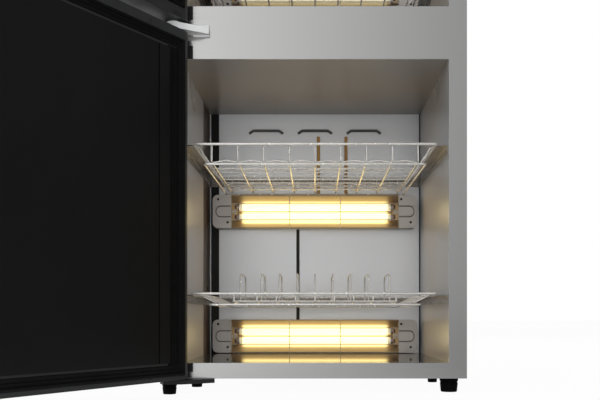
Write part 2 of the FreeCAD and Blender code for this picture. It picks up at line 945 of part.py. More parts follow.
def make_heater_tray(name, middle):
    """The folded reflector: a flat back with two wings that open to the front."""
    tray = new_body(f"heater_{name}_tray")
    front = interior_depth - heater_tray_depth
    back = interior_depth
    wing = heater_height / 2
    flat = heater_back_height / 2
    fold = heater_sheet * 1.2
    profile = [
        (front, middle + wing),
        (back, middle + flat),
        (back, middle - flat),
        (front, middle - wing),
        (front, middle - wing + fold),
        (back - heater_sheet, middle - flat + heater_sheet / 2),
        (back - heater_sheet, middle + flat - heater_sheet / 2),
        (front, middle + wing - fold),
    ]
    pad(tray, outline(tray, "YZ_Plane", [profile]), tray_half * 2, both_ways=True)
    return node(tray, f"heater_{name}_tray")


def make_heater_cap(name, middle):
    """One end cap with round outer corners and a U-shaped groove that opens towards the tubes."""
    cap = new_body(f"heater_{name}_cap")
    wing = heater_height / 2
    face = heater_cap_depth - interior_depth
    block = rectangle(tray_half, middle - wing, heater_half, middle + wing)
    pad(
        cap,
        outline(cap, "XZ_Plane", [block], lift=face),
        heater_cap_depth,
        reverse=True,
    )
    outer = number_of(heater_half) - 1e-3
    round_edges(
        cap,
        heater_cap_corner,
        lambda edge: runs_along(edge, Y_AXIS) and edge.BoundBox.XMin > outer,
    )
    tall = cap_groove_height / 2
    out = heater_half - cap_groove_margin
    line = cap_groove_line
    groove = [
        (tray_half, middle - tall),
        (out, middle - tall),
        (out, middle + tall),
        (tray_half, middle + tall),
        (tray_half, middle + tall - line),
        (out - line, middle + tall - line),
        (out - line, middle - tall + line),
        (tray_half, middle - tall + line),
    ]
    pocket(cap, outline(cap, "XZ_Plane", [groove], lift=face), cap_groove_depth)
    return cap


def make_heaters():
    caps = []
    holders = []
    for name, middle in heater_rises:
        make_heater_tray(name, middle)
        cap = make_heater_cap(name, middle)
        caps += [cap, mirrored(cap, f"heater_{name}_cap_left")]
        tube_y = interior_depth - tube_wall_gap
        tube_end = tray_half - holder_length
        tubes = [
            cylinder(
                f"tube_{name}_{word}",
                tube_diameter,
                tube_end * 2,
                (-tube_end, tube_y, middle + tube_spacing / 2 * side),
                X_AXIS,
            )
            for word, side in (("high", 1), ("low", -1))
        ]
        group(f"heater_{name}_tubes", tubes)
        reach = (tube_spacing + tube_diameter) / 2 + holder_margin
        for word, start in (("left", -tray_half), ("right", tube_end)):
            holders.append(
                box(
                    f"holder_{name}_{word}",
                    (start, start + holder_length),
                    (tube_y - tube_diameter / 2 - holder_proud, tube_y + tube_diameter / 2),
                    (middle - reach, middle + reach),
                )
            )
    group("heater_end_caps", caps)
    group("heater_tube_holders", holders)


def sleeve_places():
    """Where the lead sleeves rise from the heaters: across the back, and from which to which height."""
    lower_top = heater_rises[0][1] + heater_height / 2
    middle_bottom = heater_rises[1][1] - heater_height / 2
    middle_top = heater_rises[1][1] + heater_height / 2
    under_hood = lower_ceiling - hood_drop - hood_height - sleeve_hood_gap
    return (
        (lower_sleeve_side, lower_top, middle_bottom),
        (middle_sleeve_side, middle_top, under_hood),
        (right_sleeve_side, middle_top, under_hood),
    )


sleeve_y = interior_depth - sleeve_diameter / 2 - running_gap


def make_back_wall_fittings():
    """Lead sleeves up the back wall, and the arched vent hoods near each ceiling."""
    sleeves = []
    for x, low, high in sleeve_places():
        across, deep = number_of(x), number_of(sleeve_y)
        ends = [(across, deep, number_of(low)), (across, deep, number_of(high))]
        sleeves.append(straight(*ends, number_of(sleeve_diameter), Y_AXIS, sides=8))
    wires_node("heater_lead_sleeves", sleeves)
    hoods = []
    for name, ceiling in (("lower", lower_ceiling), ("upper", upper_ceiling)):
        for column in (-1, 0, 1):
            hood = new_body(f"hood_{name}_{column + 2}")
            middle = hood_pitch * column
            top = ceiling - hood_drop
            low = top - hood_height
            wide = hood_width / 2
            bar = hood_height * 0.45
            arch = [
                (middle - wide, low),
                (middle - wide + hood_height, top),
                (middle + wide - hood_height, top),
                (middle + wide, low),
                (middle + wide - bar, low),
                (middle + wide - hood_height - bar / 3, top - bar),
                (middle - wide + hood_height + bar / 3, top - bar),
                (middle - wide + bar, low),
            ]
            sketch = outline(hood, "XZ_Plane", [arch], lift=hood_depth - interior_depth)
            pad(hood, sketch, hood_depth, reverse=True)
            hoods.append(hood)
    group("vent_hoods", hoods)


# ---------------------------------------------------------------- bent and straight wires

def section_ring(centre, across, side, forward, cut, diameter, sides):
    """The corners of a wire's polygon section at one point, slid along the run into the cut plane."""
    reach = diameter / 2 / math.cos(math.pi / sides)
    ring = []
    for step in range(sides):
        angle = math.pi / sides + 2 * math.pi * step / sides
        offset = across * (reach * math.cos(angle)) + side * (reach * math.sin(angle))
        offset = offset - forward * (offset.dot(cut) / forward.dot(cut))
        ring.append(centre + offset)
    return ring


def wire_solid(points, diameter, across, sides=6, closed=False, first_cut=None, last_cut=None):
    """A wire along straight runs in one plane, mitred at its bends.

    across is the plane's normal: two flats of the section face along it. The first and last
    cuts are the normals of the planes in which the wire's ends lie, square to it by default.
    """
    count = len(points)
    runs = [
        (points[(i + 1) % count] - points[i]).normalize()
        for i in range(count if closed else count - 1)
    ]
    rings = []
    for i, point in enumerate(points):
        before = runs[i - 1] if closed or i > 0 else None
        after = runs[i] if closed or i < count - 1 else None
        if before is None:
            cut = first_cut or after
        elif after is None:
            cut = last_cut or before
        else:
            cut = (before + after).normalize()
        forward = before or after
        side = forward.cross(across)
        rings.append(section_ring(point, across, side, forward, cut, diameter, sides))
    faces = []
    for i in range(len(runs)):
        here = rings[i]
        there = rings[(i + 1) % count]
        for step in range(sides):
            following = (step + 1) % sides
            corners = [here[step], here[following], there[following], there[step]]
            faces.append(Part.Face(Part.makePolygon(corners + corners[:1])))
    if not closed:
        for ring in (rings[0], rings[-1]):
            faces.append(Part.Face(Part.makePolygon(ring + ring[:1])))
    solid = Part.Solid(Part.Shell(faces))
    if solid.Volume < 0:
        solid.reverse()
    return solid


def straight(start, end, diameter, across, **cuts):
    return wire_solid([Vector(*start), Vector(*end)], diameter, across, **cuts)


def round_corner(corner, arriving, leaving, radius, steps):
    """Points of an arc that replaces a square corner between two unit directions."""
    centre = corner + (leaving - arriving) * radius
    points = []
    for step in range(steps + 1):
        angle = math.pi / 2 * step / steps
        points.append(
            centre - leaving * (radius * math.cos(angle)) + arriving * (radius * math.sin(angle))
        )
    return points


def rounded_loop(half_x, front, rear, height, radius, steps=2):
    """A rectangle with round corners, level at one height."""
    corners = (
        (Vector(half_x, front, height), X_AXIS, Y_AXIS),
        (Vector(half_x, rear, height), Y_AXIS, -X_AXIS),
        (Vector(-half_x, rear, height), -X_AXIS, -Y_AXIS),
        (Vector(-half_x, front, height), -Y_AXIS, X_AXIS),
    )
    points = []
    for corner, arriving, leaving in corners:
        points += round_corner(corner, arriving, leaving, radius, steps)
    return points


def wires_node(label, solids):
    feature = doc.addObject("Part::Feature", label)
    feature.Shape = Part.makeCompound(solids)
    feature.Placement = Placement()
    return node(feature, label)


# ---------------------------------------------------------------- racks

STRUTS = 5
rim_half = opening_half - rack_side_gap
rack_rear = interior_depth - rack_rear_gap


class Rack:
    """The numbers of one rack that its rim, grid and dividers share."""

    def __init__(self, rim_height, deep, inset, columns):
        self.rim = number_of(rim_height)
        self.frame = number_of(rim_height - deep)
        self.rim_half = number_of(rim_half)
        self.frame_half = number_of(rim_half - inset)
        self.front = number_of(rack_front)
        self.rear = number_of(rack_rear)
        self.columns = [number_of(x) for x in columns]
        self.thick = number_of(rim_wire)
        self.medium = number_of(frame_wire)
        self.thin = number_of(rack_wire)
        self.step_in = (self.thick - self.medium) / 2
        self.corner_reach = self.thin / 2 / math.cos(math.pi / 6)
        self.cross_height = self.frame + (self.medium + self.thin) / 2
        self.grid_top = self.cross_height + self.thin / 2
        self.long_height = self.grid_top + self.thin / 2


def rack_rims(rack):
    """The thick closed wire that slides on the rails, and the thinner one that frames the floor."""
    rim = rounded_loop(
        rack.rim_half, rack.front, rack.rear, rack.rim, number_of(rack_corner)
    )
    floor = rounded_loop(
        rack.frame_half,
        rack.front + rack.step_in,
        rack.rear - rack.step_in,
        rack.frame,
        number_of(frame_corner),
    )
    return [
        wire_solid(rim, rack.thick, Z_AXIS, sides=8, closed=True),
        wire_solid(floor, rack.medium, Z_AXIS, sides=8, closed=True),
    ]


def rack_grid(rack, long_places):
    """The uprights, cross wires, long wires and slanted side struts between the two rims."""
    solids = []
    thin = rack.thin
    near = rack.front + rack.step_in - rack.medium / 2
    far = rack.rear - rack.step_in + rack.medium / 2
    for x in rack.columns:
        solids.append(
            straight((x, near, rack.cross_height), (x, far, rack.cross_height), thin, Z_AXIS)
        )
        for y in (rack.front + (rack.thick + thin) / 2, rack.rear - (rack.thick + thin) / 2):
            solids.append(
                straight((x, y, rack.grid_top), (x, y, rack.rim + thin / 2), thin, Y_AXIS)
            )
    reach = max(rack.columns) + 2 * thin
    for y in long_places:
        solids.append(
            straight((-reach, y, rack.long_height), (reach, y, rack.long_height), thin, Z_AXIS)
        )
    margin = number_of(strut_margin)
    for y in spread(rack.front + margin, rack.rear - margin, STRUTS):
        for side in (-1, 1):
            high = (side * (rack.rim_half - rack.thick / 2), y, rack.rim)
            low = (side * rack.frame_half, y, rack.frame + rack.medium / 2)
            solids.append(
                straight(high, low, thin, Y_AXIS, first_cut=X_AXIS, last_cut=Z_AXIS)
            )
    return solids


def wave_wire(rack, y, rise):
    """A divider that rests on each cross wire and rises between them, to seat the bowls."""
    columns = rack.columns
    slope = math.atan2(rise, (columns[1] - columns[0]) / 2)
    low = rack.grid_top + rack.corner_reach / math.cos(slope)
    points = []
    for here, following in zip(columns, columns[1:]):
        points.append(Vector(here, y, low))
        points.append(Vector((here + following) / 2, y, low + rise))
    points.append(Vector(columns[-1], y, low))
    return wire_solid(points, rack.thin, Y_AXIS)


def hairpin(rack, x, rise, span, middle):
    """An upright bow between two plates, its feet on a cross wire."""
    shoulder = rise / 4
    low = rack.grid_top
    high = low + rise
    front = middle - span / 2
    rear = middle + span / 2
    points = [
        Vector(x, front, low),
        Vector(x, front, high - shoulder),
        Vector(x, front + shoulder, high),
        Vector(x, rear - shoulder, high),
        Vector(x, rear, high - shoulder),
        Vector(x, rear, low),
    ]
    return wire_solid(points, rack.thin, X_AXIS)


def spread(start, end, count):
    return [start + (end - start) * step / (count - 1) for step in range(count)]


def make_bowl_rack(name):
    columns = [bowl_pitch * step for step in range(-4, 5)]
    rack = Rack(rack_heights[name], bowl_rack_deep, bowl_rack_inset, columns)
    wires_node(f"{name}_rims", rack_rims(rack))
    margin = number_of(bowl_long_margin)
    long_places = spread(rack.front + margin, rack.rear - margin, 8)
    wires_node(f"{name}_grid", rack_grid(rack, long_places))
    rise = number_of(bowl_wave)
    rows_at = [
        rack.front + number_of(bowl_wave_margin),
        (long_places[1] + long_places[2]) / 2,
        (long_places[5] + long_places[6]) / 2,
        rack.rear - number_of(bowl_wave_margin),
    ]
    wires_node(f"{name}_dividers", [wave_wire(rack, y, rise) for y in rows_at])


def make_plate_rack(name):
    inner = [plate_pitch * step for step in range(-3, 4)]
    outer = inner[-1] + plate_end_pitch
    columns = [-outer] + inner + [outer]
    rack = Rack(rack_heights[name], plate_rack_deep, plate_rack_inset, columns)
    wires_node(f"{name}_rims", rack_rims(rack))
    middle = (rack.front + rack.rear) / 2
    span = number_of(plate_divider_span)
    beside = span / 2 + number_of(plate_long_gap)
    long_places = [
        rack.front + number_of(plate_long_margin),
        middle - beside,
        middle + beside,
        rack.rear - number_of(plate_long_margin),
    ]
    wires_node(f"{name}_grid", rack_grid(rack, long_places))
    rise = number_of(plate_divider_height)
    wires_node(f"{name}_dividers", [hairpin(rack, x, rise, span, middle) for x in rack.columns])


rack_heights = {
    "plate_rack": lower_floor + plate_rack_rise,
    "bowl_rack": lower_floor + bowl_rack_rise,
    "upper_rack": upper_floor + upper_rack_rise,
}


def make_rails():
    """Side angles and a rear ledge under each rack's rim; the ledge clears the lead sleeves."""
    rails = []
    rear_edge = rack_rear - rim_wire / 4
    inner_edge = rim_half - rim_wire / 4
    for name, rim_height in rack_heights.items():
        top = rim_height - rim_wire / 2 - running_gap
        under = top - rail_sheet
        low = top - rail_drop
        side = new_body(f"rail_{name}_right")
        angle = [
            (inner_edge, top),
            (inner_edge, under),
            (opening_half - rail_sheet, under),
            (opening_half - rail_sheet, low),
            (opening_half, low),
            (opening_half, top),
        ]
        sketch = outline(side, "XZ_Plane", [angle], lift=-rail_front)
        pad(side, sketch, rear_edge - rail_front, reverse=True)
        rails += [side, mirrored(side, f"rail_{name}_left")]
        ledge = new_body(f"rail_{name}_rear")
        profile = [
            (rear_edge, top),
            (rear_edge, under),
            (interior_depth - rail_sheet, under),
            (interior_depth - rail_sheet, low),
            (interior_depth, low),
            (interior_depth, top),
        ]
        pad(
            ledge,
            outline(ledge, "YZ_Plane", [profile]),
            opening_half * 2,
            both_ways=True,
        )
        reach = sleeve_diameter / 2 + sleeve_clearance
        notches = [
            rectangle(x - reach, sleeve_y - reach, x + reach, interior_depth + 1)
            for x, _, _ in sleeve_places()
        ]
        pocket(ledge, outline(ledge, "XY_Plane", notches, lift=top), rail_drop)
        rails.append(ledge)
    group("rack_rails", rails)


# ---------------------------------------------------------------- guards and hidden fittings

def make_heater_guards():
    """Three long wires between the end caps, and two uprights across them."""
    solids = []
    wire = number_of(guard_wire)
    reach = number_of(tray_half)
    y = number_of(interior_depth - heater_cap_depth + guard_wire)
    tall = number_of(heater_height) / 2
    for _, middle in heater_rises:
        z = number_of(middle)
        for step in (-1, 0, 1):
            level = z + step * number_of(guard_spacing)
            solids.append(straight((-reach, y, level), (reach, y, level), wire, Y_AXIS))
        for side in (-1, 1):
            x = side * number_of(guard_upright) / 2
            front = y - wire
            solids.append(straight((x, front, z - tall), (x, front, z + tall), wire, Y_AXIS))
    wires_node("heater_guards", solids)


def ring_of_corners(x, z, diameter, sides):
    """The corners of an upright regular polygon that stands on one flat."""
    corners = []
    for step in range(sides):
        angle = 2 * math.pi * (step + 0.5) / sides
        corners.append(
            (x + diameter / 2 * math.cos(angle), z + diameter / 2 * math.sin(angle))
        )
    return corners


def make_hidden_fittings():
    """Thermostats behind the liners, the terminal box and the cord gland on the back cover."""
    behind = interior_depth + liner_sheet
    thermostats = []
    for name, ceiling in (("lower", lower_ceiling), ("upper", upper_ceiling)):
        block = new_body(f"thermostat_{name}")
        face = ring_of_corners(
            opening_half / 3, ceiling - thermostat_drop, thermostat_diameter, 8
        )
        sketch = outline(block, "XZ_Plane", [face], lift=-behind)
        pad(block, sketch, thermostat_diameter / 2, reverse=True)
        thermostats.append(block)
    group("thermostats", thermostats)
    terminal_box_left = gland_x + terminal_box_offset
    terminal = box(
        "terminal_box",
        (terminal_box_left, terminal_box_left + terminal_box_width),
        (case_back - terminal_box_depth, case_back),
        (gland_z - terminal_box_height / 2, gland_z + terminal_box_height / 2),
    )
    node(terminal, "terminal_box")
    gland = new_body("cord_gland")
    flats = ring_of_corners(gland_x, gland_z, gland_width, 6)
    bore = (gland_x, gland_z, gland_bore)
    neck = (gland_x, gland_z, gland_neck)
    pad(
        gland,
        outline(gland, "XZ_Plane", [flats], [bore], lift=-cabinet_depth),
        gland_head,
        reverse=True,
    )
    pad(gland, outline(gland, "XZ_Plane", (), [neck, bore], lift=-cabinet_depth), gland_reach)
    return node(gland, "cord_gland")


# ---------------------------------------------------------------- the cabinet

make_front_frame()
make_side_panels()
make_back_cover()
make_base_pan()
make_top_cover()
make_liner("lower", lower_floor, lower_ceiling)
make_liner("upper", upper_floor, upper_ceiling)
make_feet()
make_door("lower_door", lower_door_bottom, lower_door_top, lower_floor, lower_ceiling)
make_door("upper_door", upper_door_bottom, upper_door_top, upper_floor, upper_ceiling)
make_middle_bracket()
make_top_plate()
make_bottom_plate()
make_pins()
make_control_head()
make_control_window()
for word, x in zip(button_names, button_places):
    make_button(word, x)
make_control_board()
make_heaters()
make_heater_guards()
make_back_wall_fittings()
make_rails()
make_plate_rack("plate_rack")
make_bowl_rack("bowl_rack")
make_bowl_rack("upper_rack")
make_hidden_fittings()
doc.recompute()

for item in doc.Objects:
    if "Invalid" in item.State or "Error" in item.State:
        raise RuntimeError(f"{item.Label} failed to compute: {item.State}")
for part in nodes:
    if part.Shape.isNull() or not part.Shape.isValid():
        raise RuntimeError(f"{part.Label} has no valid shape")

os.makedirs("parts", exist_ok=True)
for part in nodes:
    part.Shape.exportStep(f"parts/{part.Label}.step")
print(len(nodes), "nodes written")
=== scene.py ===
"""The looks of a dish sterilizer cabinet with both doors open and its heaters lit."""

import json
import math

import bpy
from mathutils import Matrix, Vector


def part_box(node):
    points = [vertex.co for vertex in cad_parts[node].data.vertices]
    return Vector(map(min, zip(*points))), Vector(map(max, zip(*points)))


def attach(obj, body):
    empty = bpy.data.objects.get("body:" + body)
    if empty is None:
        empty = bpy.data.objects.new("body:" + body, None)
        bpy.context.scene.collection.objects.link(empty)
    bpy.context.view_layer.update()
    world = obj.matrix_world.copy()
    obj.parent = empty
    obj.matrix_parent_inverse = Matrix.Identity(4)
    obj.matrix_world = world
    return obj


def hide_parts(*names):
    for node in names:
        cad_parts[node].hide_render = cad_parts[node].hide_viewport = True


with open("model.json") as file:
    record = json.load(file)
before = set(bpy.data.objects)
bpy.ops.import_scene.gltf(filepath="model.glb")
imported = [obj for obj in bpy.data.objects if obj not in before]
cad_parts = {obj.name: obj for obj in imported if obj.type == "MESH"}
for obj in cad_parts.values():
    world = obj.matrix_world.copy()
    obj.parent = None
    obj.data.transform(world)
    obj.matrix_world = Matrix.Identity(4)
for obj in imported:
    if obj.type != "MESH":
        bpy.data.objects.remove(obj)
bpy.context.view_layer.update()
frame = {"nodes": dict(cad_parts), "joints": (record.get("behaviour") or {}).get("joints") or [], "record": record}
nodes = frame["nodes"]
joints = {joint["name"]: joint for joint in frame["joints"]}

HEATERS = ("lower", "middle", "upper")
COMPARTMENTS = ("lower", "upper")
LINER_SHEET = 0.0006
UP = (0, 0, 1)


def middle_height(name):
    """Half way up a CAD node."""
    low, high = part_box(name)
    return (low[2] + high[2]) / 2


def opening(compartment):
    """The levels of a compartment's floor and ceiling, between its liner's sheets."""
    low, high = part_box(f"{compartment}_liner_sides")
    return low[2] + LINER_SHEET, high[2] - LINER_SHEET


# ---------------------------------------------------------------- camera

EYE = Vector((0, -1.122, 0.1082))
LENS = 48.72
SHIFT = (-0.025, 0.1917)


def make_camera():
    """Level view along +Y; the shift frames the part of the cabinet that the photograph shows."""
    data = bpy.data.cameras.new("camera")
    data.lens = LENS
    data.shift_x, data.shift_y = SHIFT
    data.clip_start = 0.01
    camera = bpy.data.objects.new("camera", data)
    camera.location = EYE
    camera.rotation_euler = (math.radians(90), 0, 0)
    bpy.context.scene.collection.objects.link(camera)
    bpy.context.scene.camera = camera


make_camera()


# ---------------------------------------------------------------- materials

EDGE_RADIUS = 0.0006
EDGE_SAMPLES = 4
DRAWN_LINES = 420
FLOOR_ROUGHNESS = 0.05
CEILING_ROUGHNESS = 0.25

# The lit heaters: lengths from the tray's middle in metres, and strengths at full power.
GLOW = (1.0, 0.84, 0.36)
UPPER_POWER = 0.14
LIT_HEIGHT = 0.0185
LIT_REACH = 0.1265
CORE_STRENGTH, CORE_BLUR = 1.5, 0.0022
HALO_STRENGTH, HALO_FADE = 0.14, 0.010
TRAY_END_BLUR = 0.004
COIL_STRENGTHS = (1.35, 1.75)
COLD_COIL, COIL_END_BLUR = 0.12, 0.001


class Finish:
    """A material whose Principled shader is driven by small procedural textures."""

    def __init__(self, name, colour, metallic=0.0, roughness=0.5, **sockets):
        self.material = bpy.data.materials.new(name)
        self.material.use_nodes = True
        self.tree = self.material.node_tree
        self.shader = self.tree.nodes["Principled BSDF"]
        self.colour = colour
        self.roughness = roughness
        self.shader.inputs["Base Color"].default_value = (*colour, 1)
        self.shader.inputs["Metallic"].default_value = metallic
        self.shader.inputs["Roughness"].default_value = roughness
        for socket, value in sockets.items():
            self.shader.inputs[socket.replace("_", " ")].default_value = value
        self.place = self.add("ShaderNodeTexCoord").outputs["Object"]
        self.edges = self.add("ShaderNodeBevel", Radius=EDGE_RADIUS)
        self.edges.samples = EDGE_SAMPLES
        self.link(self.edges.outputs["Normal"], self.shader.inputs["Normal"])

    def add(self, kind, **inputs):
        node = self.tree.nodes.new(kind)
        for name, value in inputs.items():
            node.inputs[name.replace("_", " ")].default_value = value
        return node

    def link(self, source, target):
        self.tree.links.new(source, target)

    def noise(self, scale, stretch=(1, 1, 1), detail=4.0, rough=0.55):
        """A noise value in object space; a small stretch along an axis draws it into streaks."""
        mapping = self.add("ShaderNodeMapping", Scale=stretch)
        self.link(self.place, mapping.inputs["Vector"])
        texture = self.add("ShaderNodeTexNoise", Scale=scale, Detail=detail, Roughness=rough)
        self.link(mapping.outputs["Vector"], texture.inputs["Vector"])
        return texture.outputs["Fac"]

    def range(self, value, low, high, start=0.3, end=0.7):
        """The value carried from start..end to low..high."""
        node = self.add("ShaderNodeMapRange")
        for name, number in (
            ("From Min", start),
            ("From Max", end),
            ("To Min", low),
            ("To Max", high),
        ):
            node.inputs[name].default_value = number
        self.link(value, node.inputs["Value"])
        return node.outputs["Result"]

    def sum(self, operation, first, second=0.0):
        """One Math node on a value and a second value or number."""
        node = self.add("ShaderNodeMath")
        node.operation = operation
        self.link(first, node.inputs[0])
        if isinstance(second, float | int):
            node.inputs[1].default_value = second
        else:
            self.link(second, node.inputs[1])
        return node.outputs[0]

    def tint(self, value, dark, light=None):
        """Base colour between two colours, chosen by the value."""
        mix = self.add("ShaderNodeMix")
        mix.data_type = "RGBA"
        mix.inputs["A"].default_value = (*dark, 1)
        mix.inputs["B"].default_value = (*(light or self.colour), 1)
        self.link(value, mix.inputs["Factor"])
        self.link(mix.outputs["Result"], self.shader.inputs["Base Color"])
        return self

    def polish(self, value, spread):
        """Roughness that varies about the finish's own by the spread."""
        low, high = self.roughness - spread, self.roughness + spread
        self.link(self.range(value, max(low, 0.02), high), self.shader.inputs["Roughness"])
        return self

    def bump(self, value, depth, strength=1.0):
        node = self.add("ShaderNodeBump", Strength=strength, Distance=depth)
        self.link(value, node.inputs["Height"])
        self.link(self.edges.outputs["Normal"], node.inputs["Normal"])
        self.link(node.outputs["Normal"], self.shader.inputs["Normal"])
        return self


def darker(colour, share):
    return tuple(part * share for part in colour)


def brushed(name, colour, roughness, along, fine=1400, depth=0.000006, share=0.955):
    """Metal with fine parallel streaks along one axis, and broad faint clouds."""
    stretch = [1, 1, 1]
    stretch[along] = 0.012
    finish = Finish(name, colour, 1.0, roughness)
    streaks = finish.noise(fine, tuple(stretch), detail=3)
    finish.tint(finish.range(streaks, 0, 1), darker(colour, share))
    finish.polish(finish.noise(fine * 0.6, tuple(stretch)), roughness * 0.3)
    return finish.bump(streaks, depth, 0.4).material


def moulded(name, colour, roughness, grain=700, depth=0.00004, share=0.8, **sockets):
    """Plastic, rubber or paint with a fine cast grain and slight wear."""
    finish = Finish(name, colour, 0.0, roughness, **sockets)
    finish.tint(finish.range(finish.noise(9), 0, 1), darker(colour, share))
    grainy = finish.noise(grain, detail=2)
    finish.polish(finish.noise(24), roughness * 0.18)
    return finish.bump(grainy, depth, 0.5).material


def mirror_steel(name, colour, roughness, metallic=0.5):
    """Bright rolled sheet: a mirror with a pale bloom, faint drawn lines and handling haze."""
    finish = Finish(name, colour, metallic, roughness)
    haze = finish.noise(5, (1, 1, 0.35), detail=1, rough=0.4)
    finish.tint(finish.range(haze, 0, 1, 0, 1), darker(colour, 0.9))
    dullness = finish.range(haze, roughness * 0.75, roughness * 1.25, 0, 1)
    finish.link(dullness, finish.shader.inputs["Roughness"])
    lines = finish.noise(DRAWN_LINES, (1, 1, 0.01), detail=2)
    return finish.bump(lines, 0.000008, 0.25).material


def shaded_level_steel(name, floor, ceiling):
    """The liner's floor and ceiling: the floor is polished by wiping, the ceiling is duller; the floor's colour is
    darkened as painted shade.
    """
    colour = (0.45, 0.445, 0.435)
    finish = Finish(name, colour, 0.55, CEILING_ROUGHNESS, Specular_IOR_Level=0.1)
    finish.shader.inputs["Specular Tint"].default_value = (0.30, 0.29, 0.27, 1)
    axes = finish.add("ShaderNodeSeparateXYZ")
    finish.link(finish.place, axes.inputs[0])
    # Painted shade: the base colour falls to 0.3 of the steel's at the floor and is full at the ceiling.
    finish.tint(finish.range(axes.outputs["Z"], 0, 1, floor, ceiling), darker(colour, 0.3))
    dullness = finish.range(axes.outputs["Z"], FLOOR_ROUGHNESS, CEILING_ROUGHNESS, floor, ceiling)
    finish.link(dullness, finish.shader.inputs["Roughness"])
    lines = finish.noise(DRAWN_LINES, (1, 0.01, 1), detail=2)
    return finish.bump(lines, 0.000004, 0.2).material


def wire_chrome(name, colour, roughness, metallic=1.0):
    """Plated wire or a small metal part, a little uneven in colour and gloss."""
    finish = Finish(name, colour, metallic, roughness)
    finish.tint(finish.range(finish.noise(60), 0, 1), darker(colour, 0.85))
    return finish.polish(finish.noise(150), 0.05).material


def lit_reflector(name, middle, power):
    """A tray's dull tan sheet: the coils' light fills its middle and fades over the wings."""
    finish = Finish(name, (0.36, 0.27, 0.17), 0.3, 0.5, Emission_Color=(*GLOW, 1))
    finish.tint(finish.range(finish.noise(14, (0.4, 1, 1)), 0, 1), (0.28, 0.20, 0.13))
    axes = finish.add("ShaderNodeSeparateXYZ")
    finish.link(finish.place, axes.inputs[0])

    def away(axis, centre):
        return finish.sum("ABSOLUTE", finish.sum("SUBTRACT", axes.outputs[axis], centre))

    up, across = away("Z", middle), away("X", 0)
    edge = (LIT_HEIGHT - CORE_BLUR, LIT_HEIGHT + CORE_BLUR)
    core = finish.range(up, CORE_STRENGTH * power, 0, *edge)
    halo = finish.range(up, HALO_STRENGTH * power, 0, LIT_HEIGHT, LIT_HEIGHT + HALO_FADE)
    along = finish.range(across, 1, 0, LIT_REACH - TRAY_END_BLUR, LIT_REACH + TRAY_END_BLUR)
    strength = finish.sum("MULTIPLY", finish.sum("MAXIMUM", core, halo), along)
    finish.link(strength, finish.shader.inputs["Emission Strength"])
    finish.polish(finish.noise(200, (0.02, 1, 1)), 0.08)
    return finish.bump(finish.noise(500, (0.02, 1, 1)), 0.00002, 0.3).material


def lit_quartz(name, power):
    """Quartz tubes with their coils alight: bright turns along X, plain ends."""
    finish = Finish(name, (0.95, 0.85, 0.7), 0.0, 0.12, Emission_Color=(*GLOW, 1))
    wave = finish.add("ShaderNodeTexWave", Scale=110.0, Distortion=0.4, Detail=1.0)
    wave.bands_direction = "X"
    finish.link(finish.place, wave.inputs["Vector"])
    axes = finish.add("ShaderNodeSeparateXYZ")
    finish.link(finish.place, axes.inputs[0])
    across = finish.sum("ABSOLUTE", axes.outputs["X"])
    ends = (LIT_REACH - COIL_END_BLUR, LIT_REACH + COIL_END_BLUR)
    along = finish.range(across, 1, COLD_COIL, *ends)
    dim, bright = (strength * power for strength in COIL_STRENGTHS)
    coil = finish.range(wave.outputs["Fac"], dim, bright, 0, 1)
    finish.link(finish.sum("MULTIPLY", coil, along), finish.shader.inputs["Emission Strength"])
    return finish.material


def heat_of(name):
    """The two heaters of the lower compartment run at full power, the upper one is turned down."""
    return UPPER_POWER if "upper" in name else 1.0


def woven_sleeve(name, colour):
    """Braided glass sleeve: two crossing sets of fine bands."""
    finish = Finish(name, colour, 0.0, 0.45)
    braid = finish.add("ShaderNodeTexWave", Scale=420.0, Distortion=1.5, Detail=2.0)
    braid.bands_direction = "DIAGONAL"
    finish.link(finish.place, braid.inputs["Vector"])
    finish.tint(finish.range(braid.outputs["Fac"], 0, 1, 0, 1), darker(colour, 0.55))
    return finish.bump(braid.outputs["Fac"], 0.0002, 0.6).material


def polished_black(name, colour, roughness=0.06):
    """Black-backed glass or clear-coated plastic with a faint film of dust and smears."""
    finish = Finish(name, colour, 0.0, roughness, Coat_Weight=0.6, Coat_Roughness=0.04)
    smears = finish.noise(6, (1, 1, 0.5), detail=7, rough=0.65)
    finish.tint(finish.range(smears, 0, 1, 0.45, 0.8), colour, tuple(c + 0.012 for c in colour))
    return finish.polish(smears, 0.04).material


def spangled(name, colour, roughness):
    """Zinc-coated sheet: flat crystals, each a little lighter, darker or duller than the next."""
    finish = Finish(name, colour, 0.85, roughness)
    crystals = finish.add("ShaderNodeTexVoronoi", Scale=95.0)
    finish.link(finish.place, crystals.inputs["Vector"])
    axes = finish.add("ShaderNodeSeparateColor")
    finish.link(crystals.outputs["Color"], axes.inputs[0])
    finish.tint(axes.outputs[0], darker(colour, 0.86))
    low, high = roughness - 0.07, roughness + 0.07
    finish.link(finish.range(axes.outputs[1], low, high, 0, 1), finish.shader.inputs["Roughness"])
    return finish.bump(finish.noise(300), 0.00001, 0.3).material


def circuit_board():
    """Green lacquer over paler copper tracks."""
    finish = Finish("circuit_board", (0.03, 0.20, 0.08), 0.0, 0.4)
    tracks = finish.add("ShaderNodeTexVoronoi", Scale=190.0)
    finish.link(finish.place, tracks.inputs["Vector"])
    shade = finish.range(tracks.outputs["Distance"], 0, 1, 0.15, 0.35)
    return finish.tint(shade, (0.10, 0.32, 0.15)).material


